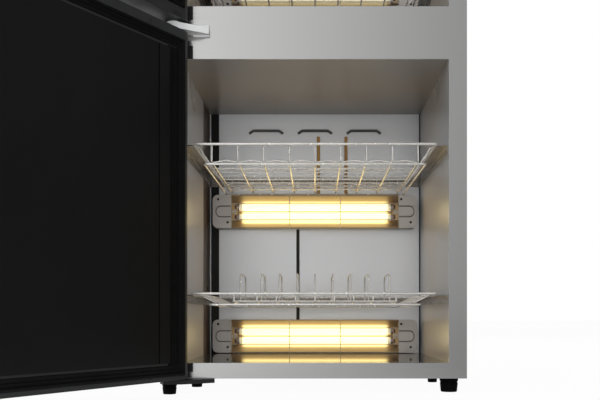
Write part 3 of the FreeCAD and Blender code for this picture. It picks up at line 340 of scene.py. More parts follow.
STEEL = (0.66, 0.66, 0.655)
materials = {
    "steel_frame": brushed(
        "brushed_front", STEEL, 0.20, along=0, fine=3000, depth=0.000002, share=0.985
    ),
    "case_paint": moulded(
        "case_paint", (0.040, 0.040, 0.043), 0.36, grain=900, depth=0.00008, share=0.95
    ),
    "galvanised": spangled("zinc_sheet", (0.46, 0.47, 0.475), 0.38),
    "lid_plastic": moulded("lid_plastic", (0.03, 0.03, 0.032), 0.38),
    "liner_steel": mirror_steel("liner_back", (0.76, 0.765, 0.775), 0.30),
    "foot_rubber": moulded("foot_rubber", (0.0025, 0.0025, 0.0025), 0.7, Specular_IOR_Level=0.06),
    "bracket_steel": moulded("bracket_paint", (0.66, 0.66, 0.655), 0.42, share=0.92),
    "black_steel": moulded("black_steel", (0.006, 0.006, 0.006), 0.5),
    "pin_steel": wire_chrome("pin_steel", (0.78, 0.78, 0.78), 0.2),
    "nylon": moulded("nylon", (0.80, 0.78, 0.72), 0.5),
    "head_plastic": moulded("head_plastic", (0.02, 0.02, 0.022), 0.3),
    "window_plastic": polished_black("window_plastic", (0.004, 0.004, 0.005)),
    "board": circuit_board(),
    "cap_metal": moulded("cap_metal", (0.58, 0.555, 0.525), 0.5, share=0.93, Metallic=0.6),
    "ceramic": moulded("ceramic", (0.55, 0.47, 0.38), 0.6, grain=300),
    "guard_wire": wire_chrome("guard_wire", (0.80, 0.76, 0.66), 0.35),
    "sleeve": woven_sleeve("amber_sleeve", (0.50, 0.27, 0.07)),
    "rack_wire": wire_chrome("rack_wire", (0.88, 0.86, 0.82), 0.24, metallic=0.65),
    "rail_steel": brushed("rail_steel", (0.42, 0.40, 0.38), 0.25, along=1),
    "sensor": moulded("sensor_plastic", (0.03, 0.03, 0.03), 0.45),
    "door_shell": moulded(
        "door_shell", (0.018, 0.019, 0.019), 0.42, grain=600, Specular_IOR_Level=0.35
    ),
    "door_glass": polished_black("door_glass", (0.005, 0.005, 0.006)),
    "door_panel": moulded(
        "door_panel", (0.004, 0.004, 0.0042), 0.38, grain=450, Specular_IOR_Level=0.16
    ),
    "seal_rubber": moulded(
        "seal_rubber", (0.003, 0.003, 0.003), 0.6, grain=300, Specular_IOR_Level=0.12
    ),
    "handle_metal": brushed("handle_metal", (0.60, 0.60, 0.61), 0.25, along=2),
    "key_metal": brushed("key_metal", (0.55, 0.55, 0.56), 0.28, along=0),
}
# Painted shade: the liner's sides get its steel made darker and bluer than the back, to take back the heaters'
# warm light on them.
shaded_side_steel = mirror_steel("liner_sides", (0.36, 0.375, 0.395), 0.30, metallic=0.12)
# Painted reflection: the brown of the thin sheet on the left side wall near the rear corner.
reflection_strip_paint = moulded("side_reflection_strip", (0.10, 0.068, 0.042), 0.32, Metallic=0.5)
dark_sleeve = woven_sleeve("dark_sleeve", (0.02, 0.018, 0.016))
dark_screw = wire_chrome("dark_screw", (0.10, 0.09, 0.085), 0.4)
bright_screw = wire_chrome("bright_screw", (0.60, 0.60, 0.60), 0.3)
brass = wire_chrome("brass", (0.72, 0.48, 0.20), 0.35)
copper = wire_chrome("copper", (0.45, 0.13, 0.06), 0.4)
cap_shadow = moulded("cap_shadow", (0.16, 0.14, 0.125), 0.6)
# Painted shade: the hood lips are dark grey instead of the liner's steel, for the shade in the hoods' open
# undersides.
hood_lip_shade = moulded("hood_lip_shade", (0.075, 0.075, 0.075), 0.55)


def give_finishes():
    """Each CAD node takes its slot's finish; the heaters and parts of the liners have their own."""
    for part in frame["record"]["subparts"]:
        name = part["node"]
        if part["material_slot"] == "reflector":
            material = lit_reflector(f"{name}_glow", middle_height(name), heat_of(name))
        elif part["material_slot"] == "quartz":
            material = lit_quartz(f"{name}_glow", heat_of(name))
        elif name.endswith("floor_ceiling"):
            low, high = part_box(name)
            material = shaded_level_steel(f"{name}_steel", low[2], high[2])
        elif name.endswith("liner_sides"):
            # The sides take the darker steel of painted shade.
            material = shaded_side_steel
        else:
            material = materials[part["material_slot"]]
        node = nodes[name]
        node.data.materials.clear()
        node.data.materials.append(material)


PLATE_EDGE = 0.0003
SMALL_EDGE = 0.0002
THIN_EDGE = 0.0001
SHARP_ANGLE = math.radians(35)


def soften_edges(piece, width):
    """Broken edges, on pieces made here only; a CAD node gets no modifier."""
    bevel = piece.modifiers.new("broken_edges", "BEVEL")
    bevel.width = width
    bevel.segments = 2
    bevel.limit_method = "ANGLE"
    bevel.angle_limit = SHARP_ANGLE
    bevel.harden_normals = True
    piece.data.shade_smooth()


give_finishes()


# ---------------------------------------------------------------- ways of making pieces

def finish_piece(piece, body, slot, material=None):
    """Put a new piece into the scene with its body and its finish; the slot's finish is used when none is given.
    """
    if piece.name not in bpy.context.scene.collection.objects:
        bpy.context.scene.collection.objects.link(piece)
    piece.data.materials.append(material or materials[slot])
    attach(piece, body)
    return piece


BOX_FACES = [(0, 1, 3, 2), (4, 6, 7, 5), (0, 4, 5, 1), (2, 3, 7, 6), (0, 2, 6, 4), (1, 5, 7, 3)]
NEARLY_STRAIGHT = math.radians(89)
LARGEST_TRIM = 0.49


def box_corners(low, high):
    """The eight corners of a box, in the order that BOX_FACES counts them."""
    xs, ys, zs = zip(low, high)
    return [(x, y, z) for x in xs for y in ys for z in zs]


def facing(axis):
    """The rotation that carries +Z to the axis."""
    return Vector((0, 0, 1)).rotation_difference(Vector(axis)).to_matrix()


def mesh_piece(name, vertices, faces, body, slot, material=None, smooth=False):
    data = bpy.data.meshes.new(name)
    data.from_pydata(vertices, [], faces)
    data.update()
    if smooth:
        data.shade_smooth()
    return finish_piece(bpy.data.objects.new(name, data), body, slot, material)


def block(name, low, high, body, slot, material=None, edge=PLATE_EDGE):
    """A small plate or block with broken edges."""
    piece = mesh_piece(name, box_corners(low, high), BOX_FACES, body, slot, material)
    soften_edges(piece, edge)
    return piece


def rounded(points, radius, closed=False, steps=6):
    """The polyline with each corner replaced by an arc, smaller where the runs are short."""
    points = [Vector(point) for point in points]
    count = len(points)
    out = []
    for i, corner in enumerate(points):
        if not closed and i in (0, count - 1):
            out.append(corner)
            continue
        back = points[i - 1] - corner
        ahead = points[(i + 1) % count] - corner
        half = back.angle(ahead) / 2
        if half > NEARLY_STRAIGHT:
            out.append(corner)
            continue
        longest = min(back.length * LARGEST_TRIM, ahead.length * LARGEST_TRIM)
        trim = min(radius / math.tan(half), longest)
        bend = trim * math.tan(half)
        back, ahead = back.normalized(), ahead.normalized()
        start, end = corner + back * trim, corner + ahead * trim
        centre = corner + (back + ahead).normalized() * bend / math.sin(half)
        first, last = start - centre, end - centre
        sweep = first.angle(last)
        for step in range(steps + 1):
            share = step / steps
            ray = first * math.sin(sweep * (1 - share)) + last * math.sin(sweep * share)
            out.append(centre + ray / math.sin(sweep))
    return out


def wires(name, runs, body, slot, material=None, resolution=3):
    """Round wires in one object. Each run is (points, wire radius, closed)."""
    data = bpy.data.curves.new(name, "CURVE")
    data.dimensions = "3D"
    data.bevel_depth = 1.0
    data.bevel_resolution = resolution
    data.use_fill_caps = True
    for points, radius, closed in runs:
        spline = data.splines.new("POLY")
        spline.points.add(len(points) - 1)
        for point, place in zip(spline.points, points):
            point.co = (*place, 1)
            point.radius = radius
        spline.use_cyclic_u = closed
        spline.use_smooth = True
    return finish_piece(bpy.data.objects.new(name, data), body, slot, material)


def turned(name, profile, centre, axis, body, slot, material=None, around=24):
    """A turned piece: the profile is (distance along the axis, radius) from the base up."""
    turn = facing(axis)
    vertices = []
    faces = []
    for reach, radius in profile:
        for step in range(around):
            angle = 2 * math.pi * step / around
            spot = Vector((radius * math.cos(angle), radius * math.sin(angle), reach))
            vertices.append(Vector(centre) + turn @ spot)
    for ring in range(len(profile) - 1):
        for step in range(around):
            following = (step + 1) % around
            low, high = ring * around, (ring + 1) * around
            faces.append((low + step, low + following, high + following, high + step))
    faces.append(tuple(reversed(range(around))))
    faces.append(tuple(range(len(vertices) - around, len(vertices))))
    piece = mesh_piece(name, vertices, faces, body, slot, material)
    soften_edges(piece, SMALL_EDGE)
    return piece


def screw(name, centre, axis, body, slot, radius=0.003, material=None):
    """A pan head with a cross recess, standing on a surface."""
    height = radius * 0.6
    profile = [
        (0, radius),
        (height * 0.5, radius * 0.96),
        (height * 0.9, radius * 0.7),
        (height, radius * 0.45),
    ]
    head = turned(name, profile, centre, axis, body, slot, material or bright_screw, around=16)
    turn = facing(axis)
    middle = Vector(centre) + turn @ Vector((0, 0, height))
    arm, narrow, proud = 0.7, 0.16, 0.03
    for index, (wide, tall) in enumerate(((arm, narrow), (narrow, arm))):
        reach = Vector((radius * wide, radius * tall, radius * proud))
        spots = [middle + turn @ Vector(corner) for corner in box_corners(-reach, reach)]
        mesh_piece(f"{name}_slot{index}", spots, BOX_FACES, body, slot, materials["black_steel"])
    return head


# ---------------------------------------------------------------- racks

RIM_WIRE = 0.0019
FRAME_WIRE = 0.0016
THIN_WIRE = 0.0012
RIM_CORNER = 0.006
FRAME_CORNER = 0.005
RACK_STRUTS = 5


class Rack:
    """Where one rack's wires run, read from its packed rims."""

    def __init__(self, name, inset, columns):
        low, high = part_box(f"{name}_rims")
        self.name = name
        self.half = high[0] - RIM_WIRE
        self.front = low[1] + RIM_WIRE
        self.rear = high[1] - RIM_WIRE
        self.rim = high[2] - RIM_WIRE
        self.floor = low[2] + FRAME_WIRE
        self.floor_half = self.half - inset
        self.cross = self.floor + FRAME_WIRE + THIN_WIRE
        self.long = self.cross + 2 * THIN_WIRE
        self.columns = columns

    def rims(self):
        """The closed rim, and the smaller closed floor frame below it."""
        loops = []
        step_in = RIM_WIRE - FRAME_WIRE
        for half, inward, level, radius, corner in (
            (self.half, 0, self.rim, RIM_WIRE, RIM_CORNER),
            (self.floor_half, step_in, self.floor, FRAME_WIRE, FRAME_CORNER),
        ):
            near, far = self.front + inward, self.rear - inward
            ring = [
                (half, near, level),
                (half, far, level),
                (-half, far, level),
                (-half, near, level),
            ]
            loops.append((rounded(ring, corner, closed=True, steps=8), radius, True))
        return loops

    def bows(self):
        """U-shaped wires: down inside the front rim, over the floor frame, up inside the rear rim."""
        runs = []
        inside = RIM_WIRE + THIN_WIRE
        lean, corner = 0.0003, 0.004
        for x in self.columns:
            path = [
                (x, self.front + inside, self.rim + THIN_WIRE),
                (x, self.front - lean, self.cross),
                (x, self.rear + lean, self.cross),
                (x, self.rear - inside, self.rim + THIN_WIRE),
            ]
            runs.append((rounded(path, corner), THIN_WIRE, False))
        return runs

    def longs(self, places):
        """Wires along X that lie on the bows' floor, one at each place."""
        reach = max(self.columns) + 4 * THIN_WIRE
        ends = (-reach, reach)
        return [([(x, y, self.long) for x in ends], THIN_WIRE, False) for y in places]

    def struts(self):
        """Side wires that leave the rim's inner side and curve in to the floor frame."""
        runs = []
        margin, corner = 0.025, 0.008
        top = self.half - RIM_WIRE - THIN_WIRE * 0.6
        inner = self.floor_half - 0.0065
        fall = self.rim - self.cross
        length = self.rear - self.front - 2 * margin
        for step in range(RACK_STRUTS):
            y = self.front + margin + length * step / (RACK_STRUTS - 1)
            for side in (-1, 1):
                path = [
                    (side * top, y, self.rim),
                    (side * (top - 0.004), y, self.rim - fall * 0.06),
                    (side * (top - (top - inner) * 0.47), y, self.rim - fall * 0.45),
                    (side * inner, y, self.cross),
                ]
                runs.append((rounded(path, corner), THIN_WIRE, False))
        return runs


def spread(start, end, count):
    """Evenly spaced values, both ends included."""
    return [start + (end - start) * step / (count - 1) for step in range(count)]


def replace_wires(rack, part, runs):
    """Round wires that stand for one of the rack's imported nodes."""
    name = f"{rack.name}_{part}"
    piece = wires(f"{name}_wires", runs, rack.name, "rack_wire")
    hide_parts(name)


def make_bowl_rack(name):
    """Nine bows, eight long wires and four low wavy dividers."""
    pitch, rise, corner = 0.036, 0.003, 0.007
    long_inset, long_count, divider_inset = 0.031, 8, 0.017
    rack = Rack(name, inset=0.0155, columns=[pitch * step for step in range(-4, 5)])
    replace_wires(rack, "rims", rack.rims())
    places = spread(rack.front + long_inset, rack.rear - long_inset, long_count)
    replace_wires(rack, "grid", rack.bows() + rack.longs(places) + rack.struts())
    lift = rack.cross + 2 * THIN_WIRE
    runs = []
    for y in (
        rack.front + divider_inset,
        (places[1] + places[2]) / 2,
        (places[5] + places[6]) / 2,
        rack.rear - divider_inset,
    ):
        path = []
        for here, following in zip(rack.columns, rack.columns[1:]):
            path += [(here, y, lift), ((here + following) / 2, y, lift + rise)]
        path.append((rack.columns[-1], y, lift))
        runs.append((rounded(path, corner), THIN_WIRE, False))
    replace_wires(rack, "dividers", runs)


def make_plate_rack():
    """Nine bows, four long wires and a hoop over each bow to hold the plates apart."""
    pitch, end_pitch, corner = 0.027, 0.032, 0.011
    rim_gap, hoop_gap = 0.030, 0.014
    inner = [pitch * step for step in range(-3, 4)]
    outer = inner[-1] + end_pitch
    rack = Rack("plate_rack", inset=0.023, columns=[-outer] + inner + [outer])
    replace_wires(rack, "rims", rack.rims())
    low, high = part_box("plate_rack_dividers")
    front, rear = low[1] + THIN_WIRE, high[1] - THIN_WIRE
    places = [rack.front + rim_gap, front - hoop_gap, rear + hoop_gap, rack.rear - rim_gap]
    replace_wires(rack, "grid", rack.bows() + rack.longs(places) + rack.struts())
    top = high[2] - THIN_WIRE * 1.2
    runs = []
    for x in rack.columns:
        path = [
            (x, front, rack.cross + THIN_WIRE),
            (x, front, top),
            (x, rear, top),
            (x, rear, rack.cross + THIN_WIRE),
        ]
        runs.append((rounded(path, corner), THIN_WIRE, False))
    replace_wires(rack, "dividers", runs)


make_bowl_rack("bowl_rack")
make_bowl_rack("upper_rack")
make_plate_rack()


# ---------------------------------------------------------------- heaters and back wall

GUARD_WIRE = 0.00125
GUARD_LEVELS = (-0.0142, 0, 0.0142)
GUARD_UPRIGHTS = (-0.044, 0.044)
SLEEVE_RADIUS = 0.0028
AMBER_SLEEVES = (0.0061, 0.0545)
DARK_SLEEVE = -0.030
TUBE_OFFSET = 0.0085


def make_heater_details():
    """The three heaters' round guard wires, and the details of their end plates."""
    runs = []
    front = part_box("heater_guards")[0][1] + GUARD_WIRE
    y = front + 2 * GUARD_WIRE
    for word in HEATERS:
        tray_low, tray_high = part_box(f"heater_{word}_tray")
        middle = (tray_low[2] + tray_high[2]) / 2
        reach = tray_high[0]
        for level in GUARD_LEVELS:
            path = [(-reach, y, middle + level), (reach, y, middle + level)]
            runs.append((path, GUARD_WIRE * 0.6, False))
        for x in GUARD_UPRIGHTS:
            path = [(x, front, tray_low[2]), (x, front, tray_high[2])]
            runs.append((path, GUARD_WIRE * 0.5, False))
        make_cap_details(word, middle, reach)
    piece = wires("heater_guard_wires", runs, "cabinet", "guard_wire")
    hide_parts("heater_guards")


def make_cap_details(word, middle, reach):
    """Four screws and two pressed lines on a heater's end plates, and its tubes' ferrules."""
    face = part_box("heater_end_caps")[0][1]
    inner, outer, up = 0.006, 0.0225, 0.021
    spots = (
        ("a", -reach - outer, up),
        ("b", -reach - inner, -up * 0.9),
        ("c", reach + inner - 0.002, up),
        ("d", reach + outer - 0.002, -up * 0.9),
    )
    for tag, x, rise in spots:
        screw(
            f"cap_screw_{word}_{tag}",
            (x, face, middle + rise),
            (0, -1, 0),
            "cabinet",
            "cap_metal",
            radius=0.0022,
            material=dark_screw,
        )
    lines = []
    sunk, half_height, line_start, line_end = 0.0008, 0.0095, 0.0005, 0.0262
    for side in (-1, 1):
        start, end = side * (reach + line_start), side * (reach + line_end)
        y = face + sunk
        path = [
            (start, y, middle + half_height),
            (end, y, middle + half_height),
            (end, y, middle - half_height),
            (start, y, middle - half_height),
        ]
        lines.append((rounded(path, half_height * 0.97), 0.0012, False))
    wires(f"cap_lines_{word}", lines, "cabinet", "cap_metal", cap_shadow)
    tubes_low, tubes_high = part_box(f"heater_{word}_tubes")
    axis_y = (tubes_low[1] + tubes_high[1]) / 2
    length = 0.0045
    ferrule = [(0, 0.0066), (0.004, 0.0066), (length, 0.0062)]
    for side in (-1, 1):
        end = side * tubes_high[0]
        for index, level in enumerate((-TUBE_OFFSET, TUBE_OFFSET)):
            turned(
                f"ferrule_{word}_{'l' if side < 0 else 'r'}_{index}",
                ferrule,
                (end - side * length, axis_y, middle + level),
                (side, 0, 0),
                "cabinet",
                "cap_metal",
                bright_screw,
            )


def make_sleeves():
    """The braided lead sleeves that climb the back wall, round instead of eight-sided."""
    node = nodes["heater_lead_sleeves"]
    low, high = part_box("heater_lead_sleeves")
    y = (low[1] + high[1]) / 2
    lower_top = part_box("heater_lower_tray")[1][2]
    middle_low, middle_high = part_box("heater_middle_tray")
    amber = []
    for x in AMBER_SLEEVES:
        amber.append(([(x, y, middle_high[2]), (x, y, high[2])], SLEEVE_RADIUS, False))
    piece = wires("amber_lead_sleeves", amber, "cabinet", "sleeve")
    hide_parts(node.name)
    path = [(DARK_SLEEVE, y, lower_top), (DARK_SLEEVE, y, middle_low[2])]
    dark = [(path, SLEEVE_RADIUS, False)]
    wires("dark_lead_sleeve", dark, "cabinet", "sleeve", dark_sleeve)


def make_hoods():
    """The vent hoods' lips: round bars whose ends droop, dark grey as painted shade under the pressed hoods."""
    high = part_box("vent_hoods")[1]
    radius, corner, wall_gap = 0.0023, 0.005, 0.0002
    y = high[1] - radius - wall_gap
    wide, droop, pitch, below_ceiling = 0.0315, 0.009, 0.086, 0.0276
    end_in, end_up = radius * 0.7, radius * 1.7
    runs = []
    for top in (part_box("lower_liner_sides")[1][2] - below_ceiling, high[2]):
        level = top - radius
        for middle in (-pitch, 0, pitch):
            path = [
                (middle - wide + end_in, y, level - droop + end_up),
                (middle - wide + droop, y, level),
                (middle + wide - droop, y, level),
                (middle + wide - end_in, y, level - droop + end_up),
            ]
            runs.append((rounded(path, corner), radius, False))
    piece = wires("vent_hood_lips", runs, "cabinet", "rail_steel", hood_lip_shade, resolution=5)
    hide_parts("vent_hoods")


def make_lamp_sockets():
    """A brass clip, a dark gap and a copper stub on the front of each ceramic lamp holder."""
    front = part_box("heater_tube_holders")[0][1]
    length = 0.009
    for word in HEATERS:
        tray = f"heater_{word}_tray"
        middle = middle_height(tray)
        for side, tag in ((-1, "l"), (1, "r")):
            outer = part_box(tray)[1][0] * side
            for step, level in (("high", TUBE_OFFSET), ("low", -TUBE_OFFSET)):
                for part, near, far, half, proud, finish in (
                    ("clip", 0.15, 0.55, 0.0052, 0.0012, brass),
                    ("gap", 0.62, 0.80, 0.0034, 0.0006, materials["black_steel"]),
                    ("stub", 0.84, 0.98, 0.0044, 0.0010, copper),
                ):
                    edges = sorted((outer - side * length * near, outer - side * length * far))
                    block(
                        f"socket_{word}_{tag}_{step}_{part}",
                        (edges[0], front - proud, middle + level - half),
                        (edges[1], front, middle + level + half),
                        "cabinet",
                        "cap_metal",
                        finish,
                    )


make_heater_details()
make_sleeves()
make_hoods()
make_lamp_sockets()


# ---------------------------------------------------------------- front frame, seams, painted reflections and feet

def make_frame_details():
    """Corner pads on the bars' hinge side; at each liner's rear corners a dark seam on the right, and on the left
    painted reflections: a dark strip on the back and a brown sheet on the side wall.
    """
    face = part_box("front_frame")[0][1]
    pad_thick, seam_thick, reflection_thick = 0.0002, 0.0008, 0.0004
    left, right = -0.187, -0.1686
    left_reflection, right_seam, reflection_depth = (0.002, 0.016), 0.0018, 0.085
    below_floor, above_ceiling = {"lower": 0.0125, "upper": 0.019}, 0.018
    for word in COMPARTMENTS:
        floor, ceiling = opening(word)
        pads = [("floor", floor - below_floor[word], floor)]
        if word == "lower":
            pads.append(("ceiling", ceiling, ceiling + above_ceiling))
        for tag, bottom, top in pads:
            block(
                f"corner_pad_{word}_{tag}",
                (left, face - pad_thick, bottom),
                (right, face, top),
                "cabinet",
                "black_steel",
                edge=THIN_EDGE,
            )
        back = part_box(f"{word}_liner_back")[0][1]
        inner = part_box(f"{word}_liner_sides")[1][0] - LINER_SHEET
        # Painted reflection on the left: the 14 mm dark strip stands for the dark side wall mirrored in the back;
        # the right strip is a narrow dark seam.
        for tag, start, end in (
            ("left", -inner + left_reflection[0], -inner + left_reflection[1]),
            ("right", inner - right_seam, inner),
        ):
            block(
                f"corner_seam_{word}_{tag}",
                (start, back - seam_thick, floor),
                (end, back, ceiling),
                "cabinet",
                "black_steel",
                edge=THIN_EDGE,
            )
        # Painted reflection: a thin brown sheet on the left side wall stands for a reflection in the mirror steel,
        # not a part.
        block(
            f"corner_leg_{word}",
            (-inner, back - reflection_depth, floor),
            (-inner + reflection_thick, back - seam_thick, ceiling),
            "cabinet",
            "liner_steel",
            reflection_strip_paint,
            edge=THIN_EDGE,
        )


def make_levelling_peg():
    """The short rubber peg under the hinge plate; it stays clear of the floor."""
    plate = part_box("hinge_plate_bottom")[0][2]
    height = 0.0084
    profile = [(0, 0.0072), (height, 0.0080)]
    place = (-0.1674, 0.030, plate - height)
    turned("levelling_peg", profile, place, UP, "cabinet", "foot_rubber")


def make_feet():
    """Tapered rubber feet with a shallow groove, one for each packed foot."""
    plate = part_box("hinge_plate_bottom")[0][2]
    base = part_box("front_frame")[0][2]
    side = 0.1895
    # Each foot's name, x, y, radius and top.
    feet = (
        ("hinge", -0.1995, -0.008, 0.0100, plate),
        ("front", side, 0.028, 0.0130, base),
        ("rear_left", -side, 0.190, 0.0083, base),
        ("rear_right", side, 0.190, 0.0083, base),
    )
    for index, (word, x, y, radius, top) in enumerate(feet):
        profile = [
            (0, radius * 0.84),
            (0.0012, radius * 0.88),
            (top * 0.62, radius * 0.97),
            (top * 0.66, radius * 0.91),
            (top * 0.72, radius * 0.91),
            (top * 0.76, radius),
            (top, radius),
        ]
        foot = turned(f"foot_{word}", profile, (x, y, 0), UP, "cabinet", "foot_rubber", around=40)
        if index == 0:
            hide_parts("feet")


make_frame_details()
make_levelling_peg()
make_feet()


# ---------------------------------------------------------------- doors

PIVOT = Vector(joints["lower_door_hinge"]["pos_m"])
OPEN_ANGLE = math.radians(-joints["lower_door_hinge"]["range_deg"][0])
OPENED = Matrix.Rotation(-OPEN_ANGLE, 3, "Z")
INNER_FACE = PIVOT.y + 0.0185


def swung(point):
    """A point drawn with the door closed, carried to where it is with the door open."""
    turned_flat = OPENED @ Vector((point[0] - PIVOT.x, point[1] - PIVOT.y, 0))
    return Vector((PIVOT.x + turned_flat.x, PIVOT.y + turned_flat.y, point[2]))


def ring_profile(name, loop, face, profile, body, slot):
    """A mitred frame: the profile is (distance outward from the loop, height above the face)."""
    left, bottom, right, top = loop
    vertices = []
    faces = []
    for outward, height in profile:
        corners = (
            (left - outward, bottom - outward),
            (right + outward, bottom - outward),
            (right + outward, top + outward),
            (left - outward, top + outward),
        )
        vertices += [swung((x, face + height, z)) for x, z in corners]
    for row in range(len(profile) - 1):
        for step in range(4):
            following = (step + 1) % 4
            low, high = row * 4, (row + 1) * 4
            faces.append((low + step, high + step, high + following, low + following))
    piece = mesh_piece(name, vertices, faces, body, slot)
    soften_edges(piece, SMALL_EDGE)
    return piece


def make_gasket(word, floor, ceiling):
    """The seal: a magnet bead along its outer side, then two lips and the bellows between them."""
    body = f"{word}_door"
    near, far = -0.1825, 0.1915
    face = -0.003
    loop = (near - 0.0045, floor - 0.0105, far + 0.004, ceiling + 0.0117)
    profile = [
        (-0.0105, 0.0),
        (-0.0105, 0.0012),
        (-0.0085, 0.0018),
        (-0.0070, 0.0007),
        (-0.0055, 0.0007),
        (-0.0045, 0.0021),
        (-0.0030, 0.0021),
        (-0.0020, 0.0009),
        (-0.0008, 0.0009),
        (0.0004, 0.0027),
        (0.0032, 0.0027),
        (0.0040, 0.0014),
        (0.0045, 0.0),
    ]
    piece = ring_profile(f"{body}_seal", loop, face, profile, body, "seal_rubber")
    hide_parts(f"{body}_gasket")


def door_block(name, low, high, body, slot, material=None):
    """A block drawn with the door closed, on its inner face, and carried to the open door."""
    corners = [swung(corner) for corner in box_corners(low, high)]
    piece = mesh_piece(name, corners, BOX_FACES, body, slot, material)
    soften_edges(piece, SMALL_EDGE)
    return piece


def make_door_details():
    """A drain slot and a screw in each door's lower border, and another screw near its top."""
    across, radius = 0.0655, 0.0019
    slot_low, slot_high, proud = (0.007, 0.0024), (0.025, 0.0059), 0.0003
    inward = OPENED @ Vector((0, 1, 0))
    for word in COMPARTMENTS:
        body = f"{word}_door"
        low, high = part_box(f"{body}_frame")
        bottom, top = low[2], high[2]
        door_block(
            f"{body}_drain_slot",
            (PIVOT.x + slot_low[0], INNER_FACE, bottom + slot_low[1]),
            (PIVOT.x + slot_high[0], INNER_FACE + proud, bottom + slot_high[1]),
            body,
            "door_shell",
            materials["black_steel"],
        )
        for tag, z in (("low", bottom + 0.004), ("high", top - 0.006)):
            spot = swung((PIVOT.x + across, INNER_FACE, z))
            screw(f"{body}_screw_{tag}", spot, inward, body, "door_shell", radius, dark_screw)


def make_ribbed_border(word, floor, ceiling):
    """The black ribbed strips that fill each side between the seal and the inner panel."""
    body = f"{word}_door"
    panel_left, panel_right = -0.1586, 0.1718
    seal_left, seal_right = -0.1765, 0.185
    base, proud, pitch, wide, end_gap = 0.0003, 0.0012, 0.0042, 0.0014, 0.001
    for tag, start, end in (("hinge", seal_left, panel_left), ("free", panel_right, seal_right)):
        profile = [(start, 0), (start, base)]
        x = start + pitch * 0.6
        while x + wide < end - end_gap:
            rib = (x + wide * 0.25, x + wide * 0.75)
            profile += [(x, base), (rib[0], proud), (rib[1], proud), (x + wide, base)]
            x += pitch
        profile += [(end, base), (end, 0)]
        count = len(profile)
        levels = (floor, ceiling)
        vertices = [swung((x, INNER_FACE + rise, z)) for z in levels for x, rise in profile]
        faces = [(i, i + 1, i + 1 + count, i + count) for i in range(count - 1)]
        faces.append((count - 1, 0, count, 2 * count - 1))
        faces += [tuple(range(count)), tuple(range(2 * count - 1, count - 1, -1))]
        mesh_piece(f"{body}_ribs_{tag}", vertices, faces, body, "seal_rubber")


for word in COMPARTMENTS:
    make_gasket(word, *opening(word))
make_door_details()
for word in COMPARTMENTS:
    make_ribbed_border(word, *opening(word))


# ---------------------------------------------------------------- back

def make_case_screws():
    """Two rows of screws that hold the back cover."""
    low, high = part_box("back_cover")
    end_inset, side_inset, count, radius = 0.012, 0.008, 5, 0.0032
    for row, z in enumerate(spread(low[2] + end_inset, high[2] - end_inset, count)):
        for side, tag in ((-1, "l"), (1, "r")):
            place = (side * (high[0] - side_inset), high[1], z)
            screw(f"back_screw_{row}_{tag}", place, (0, 1, 0), "cabinet", "galvanised", radius)


make_case_screws()


# ---------------------------------------------------------------- floor, world and lights

FLOOR_GREY = 0.85
FLOOR_WHITE = 0.96
FLOOR_ENDS, FLOOR_SHEEN = (-0.3, 0.3), (0.80, 0.28)
STUDIO_ENDS, STUDIO_STRENGTHS = (-0.19, 0.19), (0.97, 0.36)
STUDIO_FILL = 0.5
HEATER_LIGHT = (1, 0.58, 0.20)


def graded(tree, value, ends, strengths):
    """An emission or background strength that falls off along one coordinate."""
    node = tree.nodes.new("ShaderNodeMapRange")
    names = ("From Min", "From Max", "To Min", "To Max")
    for name, number in zip(names, (*ends, *strengths)):
        node.inputs[name].default_value = number
    tree.links.new(value, node.inputs["Value"])
    return node.outputs["Result"]


def floor_material():
    """Pale under diffuse light, nearly white for the camera; in metal it shades off to the right."""
    material = bpy.data.materials.new("studio_floor")
    material.use_nodes = True
    tree = material.node_tree
    tree.nodes.clear()
    output = tree.nodes.new("ShaderNodeOutputMaterial")
    diffuse = tree.nodes.new("ShaderNodeBsdfDiffuse")
    diffuse.inputs["Color"].default_value = (FLOOR_GREY, FLOOR_GREY, FLOOR_GREY, 1)
    glow, sheen = (tree.nodes.new("ShaderNodeEmission") for _ in range(2))
    for light in (glow, sheen):
        light.inputs["Color"].default_value = (1, 1, 1, 1)
    place = tree.nodes.new("ShaderNodeTexCoord")
    axes = tree.nodes.new("ShaderNodeSeparateXYZ")
    tree.links.new(place.outputs["Object"], axes.inputs[0])
    strength = graded(tree, axes.outputs["X"], FLOOR_ENDS, FLOOR_SHEEN)
    tree.links.new(strength, sheen.inputs["Strength"])
    path = tree.nodes.new("ShaderNodeLightPath")
    share = tree.nodes.new("ShaderNodeMath")
    share.operation = "MULTIPLY"
    share.inputs[1].default_value = FLOOR_WHITE
    mix, glossy = (tree.nodes.new("ShaderNodeMixShader") for _ in range(2))
    tree.links.new(path.outputs["Is Camera Ray"], share.inputs[0])
    tree.links.new(path.outputs["Is Glossy Ray"], glossy.inputs[0])
    tree.links.new(diffuse.outputs[0], glossy.inputs[1])
    tree.links.new(sheen.outputs[0], glossy.inputs[2])
    tree.links.new(share.outputs[0], mix.inputs[0])
    tree.links.new(glossy.outputs[0], mix.inputs[1])
    tree.links.new(glow.outputs[0], mix.inputs[2])
    tree.links.new(mix.outputs[0], output.inputs[0])
    return material


def make_floor():
    bpy.ops.mesh.primitive_plane_add(size=30, location=(0, 0, 0))
    floor = bpy.context.object
    floor.name = "studio_floor"
    floor.data.materials.append(floor_material())


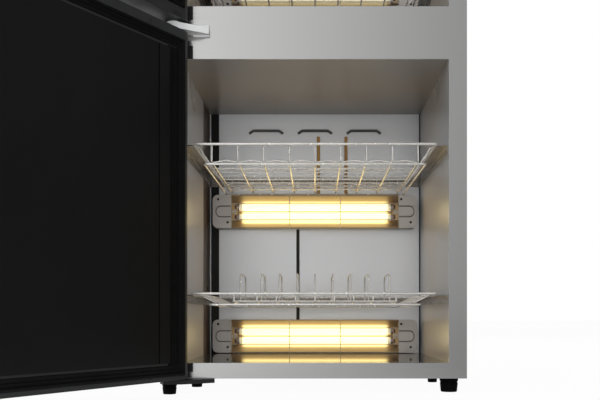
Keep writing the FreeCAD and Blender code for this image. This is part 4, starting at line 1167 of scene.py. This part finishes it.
def make_world():
    """White for the camera, and for reflections a soft studio that is brighter on the left."""
    world = bpy.data.worlds.new("studio")
    bpy.context.scene.world = world
    world.use_nodes = True
    tree = world.node_tree
    tree.nodes.clear()
    output = tree.nodes.new("ShaderNodeOutputWorld")
    path = tree.nodes.new("ShaderNodeLightPath")
    place = tree.nodes.new("ShaderNodeTexCoord")
    axes = tree.nodes.new("ShaderNodeSeparateXYZ")
    tree.links.new(place.outputs["Generated"], axes.inputs[0])
    side = graded(tree, axes.outputs["X"], STUDIO_ENDS, STUDIO_STRENGTHS)
    studio, fill, white = (tree.nodes.new("ShaderNodeBackground") for _ in range(3))
    for background in (studio, fill, white):
        background.inputs["Color"].default_value = (1, 1, 1, 1)
    tree.links.new(side, studio.inputs["Strength"])
    fill.inputs["Strength"].default_value = STUDIO_FILL
    glossy = tree.nodes.new("ShaderNodeMath")
    glossy.operation = "MAXIMUM"
    tree.links.new(path.outputs["Is Glossy Ray"], glossy.inputs[0])
    tree.links.new(path.outputs["Is Transmission Ray"], glossy.inputs[1])
    inner = tree.nodes.new("ShaderNodeMixShader")
    tree.links.new(glossy.outputs[0], inner.inputs[0])
    tree.links.new(fill.outputs[0], inner.inputs[1])
    tree.links.new(studio.outputs[0], inner.inputs[2])
    outer = tree.nodes.new("ShaderNodeMixShader")
    tree.links.new(path.outputs["Is Camera Ray"], outer.inputs[0])
    tree.links.new(inner.outputs[0], outer.inputs[1])
    tree.links.new(white.outputs[0], outer.inputs[2])
    tree.links.new(outer.outputs[0], output.inputs[0])


def area_light(name, place, target, size, power, colour=(1, 1, 1)):
    """A soft lamp turned towards its target, which neither the camera nor gloss shows."""
    data = bpy.data.lights.new(name, "AREA")
    data.size = size
    data.energy = power
    data.color = colour
    lamp = bpy.data.objects.new(name, data)
    lamp.location = place
    lamp.rotation_euler = (Vector(target) - Vector(place)).to_track_quat("-Z", "Y").to_euler()
    lamp.visible_glossy = False
    lamp.visible_camera = False
    bpy.context.scene.collection.objects.link(lamp)
    return lamp


def make_heater_lamps():
    """The heaters' own warm light, thrown forward onto the racks."""
    length, height, gap, power = 0.26, 0.035, 0.004, 0.2
    for word in HEATERS:
        tray = f"heater_{word}_tray"
        middle = middle_height(tray)
        place = (0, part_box(tray)[0][1] - gap, middle)
        lamp = area_light(f"heat_{word}", place, (0, 0, middle), length, power, HEATER_LIGHT)
        lamp.data.shape = "RECTANGLE"
        lamp.data.size_y = height


def make_lights():
    make_heater_lamps()
    area_light("key", (-1.3, -2.2, 1.7), (0, 0, 0.4), 1.4, 30)
    area_light("fill", (1.6, -2.0, 1.0), (0, 0, 0.4), 1.6, 12)
    area_light("front", (0.1, -2.4, 0.18), (0, 0, 0.35), 0.8, 20, (0.92, 0.96, 1))
    area_light("rim", (0.6, 2.2, 2.0), (0, 0, 0.5), 1.6, 20)


make_floor()
make_world()
make_lights()

bpy.context.scene.view_settings.view_transform = "Standard"
